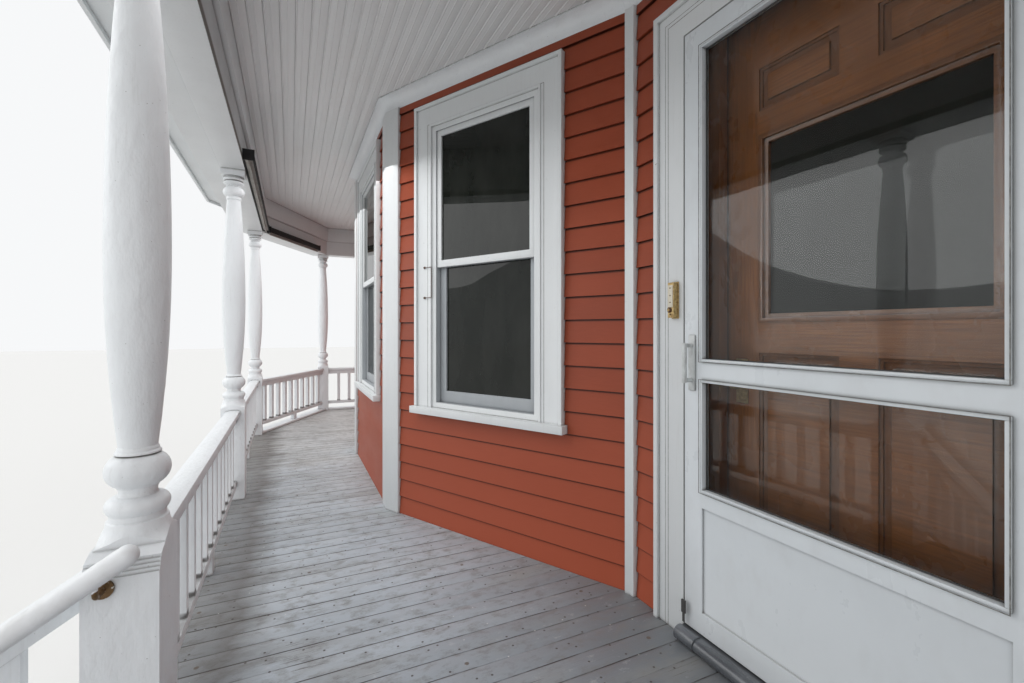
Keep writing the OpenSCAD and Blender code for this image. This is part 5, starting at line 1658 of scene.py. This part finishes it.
class PORCH_OT_wire_hook(bpy.types.Operator):
    """Two rusty screws with a bent wire on the near window's casing"""

    bl_idname = "porch.wire_hook"
    bl_label = "Wire on the casing"

    def execute(self, context):
        start, end, low_z, high_z, wire_r = 0.338, 0.396, 2.131, 2.301, 0.0016
        face = -CASING_OUT
        wire_y, collar_y = face - 0.007, face - 0.006
        bm = bmesh.new()
        for z in (low_z, high_z):
            add_rod(bm, (start, face + 0.002, z), (start, collar_y, z), 0.0062, 14)
            add_rod(bm, (start, collar_y, z), (start, face - 0.009, z), 0.0035, 10)
            add_rod(bm, (start, wire_y, z), (end, wire_y, z), wire_r, 8)
        add_rod(bm, (end, wire_y, low_z - wire_r), (end, wire_y, high_z + wire_r), wire_r, 8)
        smooth(bm)
        bmesh.ops.transform(bm, matrix=on_stretch(WALL_LINE, 3), verts=bm.verts)
        fixed_piece(bm, "casing_wire", "rusty_iron", slot_of_node("window_near_frame"))
        return {"FINISHED"}


# Metalwork and shades


class PORCH_OT_handrails(bpy.types.Operator):
    """White pipe handrails on bronze brackets"""

    bl_idname = "porch.handrails"
    bl_label = "Handrails"

    def execute(self, context):
        rails = eased("stair_handrails", "stair_handrail_pipes", "handrail_paint", 0)
        points = [vertex.co for vertex in frame["nodes"]["stair_handrails"].data.vertices]
        top = max(points, key=lambda place: place.z)
        foot = min(points, key=lambda place: place.y)
        radius, axis_x = 0.0225, 0.450
        start = Vector((0, top.y, top.z - radius))
        end = Vector((0, foot.y + radius, foot.z))
        direction = (end - start).normalized()

        def off_pipe(place, normal):
            offset = Vector((abs(place.x) - axis_x, place.y - start.y, place.z - start.z))
            offset -= direction * offset.dot(direction)
            return offset.length > radius + 0.0035

        painted(rails, "bronze_bracket", off_pipe)
        return {"FINISHED"}


def shade_span(i):
    """Where the rolled shade on stretch i of the beam starts and ends along it."""
    to_run = on_stretch(EDGE_LINE, i).inverted()
    places = [to_run @ vertex.co for vertex in frame["nodes"]["roller_shades"].data.vertices]
    from_corner, reach_in = 0.05, 0.08
    last = length_of(EDGE_LINE, i) - from_corner if i == 1 else math.inf
    spots = [place.x for place in places
             if from_corner < place.x < last and BEAM_IN - 0.001 < place.y < BEAM_IN + reach_in]
    return min(spots), max(spots)


class PORCH_OT_shades(bpy.types.Operator):
    """Rolled shades inside the beam: black rails and ends, brown slats and a bottom bar"""

    bl_idname = "porch.shades"
    bl_label = "Rolled shades"

    def slat_roll(self, start, end, y, z):
        """A roll of narrow slats round an axis."""
        slat_count = 26
        bm = bmesh.new()
        outline = []
        for k in range(slat_count * 2):
            angle = math.pi * k / slat_count
            radius = 0.0235 if k % 2 else 0.0215
            outline.append((y + radius * math.cos(angle), z + radius * math.sin(angle)))
        first, last = ([bm.verts.new((x, *spot)) for spot in outline] for x in (start, end))
        for k in range(len(outline)):
            after = (k + 1) % len(outline)
            bm.faces.new((first[k], first[after], last[after], last[k]))
        bm.faces.new(first)
        bm.faces.new(last)
        bmesh.ops.recalc_face_normals(bm, faces=bm.faces)
        flat(bm)
        return bm

    def execute(self, context):
        case_h, end_t = 0.066, 0.012
        low_z = side("roller_shades", "z", True) - case_h
        cases, slats, bars = (bmesh.new() for _ in range(3))
        for i in (1, 2):
            start, end = shade_span(i)
            case, bar = bmesh.new(), bmesh.new()
            for into, (y0, y1), (z0, z1), part in (
                    (0.004, (0.005, 0.010), (0.002, 0.060), case),
                    (0.004, (0.056, 0.061), (0.002, 0.060), case),
                    (0.004, (0.010, 0.056), (0.054, 0.060), case),
                    (0.020, (0.0115, 0.0545), (0.006, 0.011), bar),
                    (0.030, (0.030, 0.041), (-0.020, 0.008), bar)):
                add_box(part, (start + into, BEAM_IN + y0, low_z + z0),
                        (end - into, BEAM_IN + y1, low_z + z1))
            for x in (start, end - end_t):
                add_box(case, (x, BEAM_IN, low_z), (x + end_t, BEAM_IN + case_h, low_z + case_h))
            for part in (case, bar):
                rounded_edges(part, 0.0018)
            roll = self.slat_roll(start + end_t, end - end_t, BEAM_IN + 0.0325, low_z + 0.030)
            for part, whole in ((case, cases), (roll, slats), (bar, bars)):
                join_on_stretch(part, whole, EDGE_LINE, i)
        piece_of(cases, "shade_rails", "shade_cloth", "roller_shades")
        fixed_piece(slats, "shade_slat_rolls", "shade_slats", slot_of_node("roller_shades"))
        fixed_piece(bars, "shade_bottom_bars", "shade_slats", slot_of_node("roller_shades"))
        return {"FINISHED"}


# Nodes shown as they are


class PORCH_OT_plain_nodes(bpy.types.Operator):
    """Finishes of the walls, glass and other solids that are shown as they are"""

    bl_idname = "porch.plain_nodes"
    bl_label = "Walls, glass and foundation"

    def execute(self, context):
        plain = {
            "storm_glass": ["storm_door_glass"],
            "door_light_glass": ["front_door_glass"],
            "window_glass": ["window_glass"],
            "house_wall": ["wall_near", "wall_beside_door", "wall_over_door", "bay_wall_near",
                           "bay_wall_front", "bay_wall_far", "wall_far", "bay_header"],
            "room_floor": ["bay_floor"],
            "ceiling_paint": ["bay_ceiling"],
            "foundation_stone": ["house_foundation"],
            "mortar": ["porch_piers"],
            "roof_shingles": ["roof"],
        }
        for finish_name, nodes in plain.items():
            for node in nodes:
                mesh = frame["nodes"][node].data
                mesh.materials.clear()
                mesh.materials.append(material(finish_name))
        return {"FINISHED"}


# Stage


@finish
def ground_plain(net, at):
    """Plain pale ground."""
    return {"Base Color": tuple(colours().ground), "Roughness": 0.9}


class PORCH_OT_stage(bpy.types.Operator):
    """Camera, soft light, plain ground and a pale background"""

    bl_idname = "porch.stage"
    bl_label = "Stage"

    def execute(self, context):
        settings = context.scene.porch_stage
        scene = context.scene
        scene.view_settings.view_transform = "Standard"
        eye, looking = (0.806, -1.295, 1.945), Vector((-0.9063, 0.4226, 0)).normalized()
        data = bpy.data.cameras.new("camera")
        data.lens = settings.lens
        data.sensor_width = 36
        data.shift_y = -0.0103
        data.clip_start, data.clip_end = 0.02, 200
        camera = bpy.data.objects.new("camera", data)
        scene.collection.objects.link(camera)
        camera.location = eye
        camera.rotation_mode = "QUATERNION"
        camera.rotation_quaternion = looking.to_track_quat("-Z", "Y")
        scene.camera = camera

        bm = bmesh.new()
        bmesh.ops.create_grid(bm, x_segments=1, y_segments=1, size=60)
        mesh = bpy.data.meshes.new("ground")
        bm.to_mesh(mesh)
        bm.free()
        mesh.materials.append(material("ground_plain"))
        linked(mesh, "ground")

        for name, strength, travel in (("key", settings.sun, (0.35, 0.80, -0.48)),
                                       ("end", settings.end, (-0.94, 0.10, -0.32))):
            light = bpy.data.lights.new(name, "SUN")
            light.energy = strength
            light.angle = math.radians(50)
            lamp = bpy.data.objects.new(name, light)
            scene.collection.objects.link(lamp)
            lamp.rotation_mode = "QUATERNION"
            lamp.rotation_quaternion = Vector(travel).to_track_quat("-Z", "Y")

        lamp = bpy.data.lights.new("fill", "AREA")
        lamp.shape = "RECTANGLE"
        lamp.size, lamp.size_y = 5.4, 0.8
        lamp.energy = settings.fill
        over_floor = bpy.data.objects.new("fill", lamp)
        scene.collection.objects.link(over_floor)
        over_floor.location = (-3.1, -1.14, 2.94)
        over_floor.visible_camera = over_floor.visible_glossy = over_floor.visible_transmission = False

        world = bpy.data.worlds.new("sky")
        scene.world = world
        world.use_nodes = True
        world.node_tree.nodes.clear()
        net = Net(world.node_tree)
        path = net.node("ShaderNodeLightPath")
        seen = net.maths("MAXIMUM", path.of("Is Camera Ray"),
                         net.maths("MAXIMUM", path.of("Is Glossy Ray"), path.of("Is Transmission Ray")))
        strength = settings.sky + (1.0 - settings.sky) * seen
        colour = net.mix(seen, (1.0, 1.0, 1.0), (0.93, 0.94, 0.95))
        back = net.node("ShaderNodeBackground", None, {"Color": colour, "Strength": strength})
        net.node("ShaderNodeOutputWorld", None, {"Surface": back})
        return {"FINISHED"}


# Panel and registration


class PORCH_PT_panel(bpy.types.Panel):
    """Lists the porch's settings and the operators that build it"""

    bl_label = "Porch"
    bl_idname = "PORCH_PT_panel"
    bl_space_type = "VIEW_3D"
    bl_region_type = "UI"
    bl_category = "Porch"

    def draw(self, context):
        for setting in GROUPS:
            group = getattr(context.scene, setting)
            for name in group.bl_rna.properties.keys():
                if name not in ("rna_type", "name"):
                    self.layout.prop(group, name)
        for operator in OPERATORS:
            self.layout.operator(operator.bl_idname)


GROUPS = {"porch_boards": PorchBoards, "porch_colours": PorchColours, "porch_stage": PorchStage}
OPERATORS = (
    PORCH_OT_stage, PORCH_OT_plain_nodes, PORCH_OT_clapboards, PORCH_OT_floor_boards,
    PORCH_OT_ceiling_boards, PORCH_OT_frieze, PORCH_OT_roof_shingles, PORCH_OT_pier_bricks,
    PORCH_OT_trim, PORCH_OT_posts, PORCH_OT_doorway, PORCH_OT_storm_door, PORCH_OT_inner_door,
    PORCH_OT_doorbell, PORCH_OT_windows, PORCH_OT_wire_hook, PORCH_OT_handrails, PORCH_OT_shades)


def register():
    """Registers the groups, the operators and the panel."""
    for name, group in GROUPS.items():
        bpy.utils.register_class(group)
        setattr(bpy.types.Scene, name, PointerProperty(type=group))
    for operator in OPERATORS:
        bpy.utils.register_class(operator)
    bpy.utils.register_class(PORCH_PT_panel)


def unregister():
    """Removes what register added."""
    bpy.utils.unregister_class(PORCH_PT_panel)
    for operator in reversed(OPERATORS):
        bpy.utils.unregister_class(operator)
    for name, group in GROUPS.items():
        delattr(bpy.types.Scene, name)
        bpy.utils.unregister_class(group)


def main():
    """Builds the whole porch."""
    register()
    for operator in OPERATORS:
        group, name = operator.bl_idname.split(".")
        getattr(getattr(bpy.ops, group), name)()


if __name__ == "__main__":
    main()
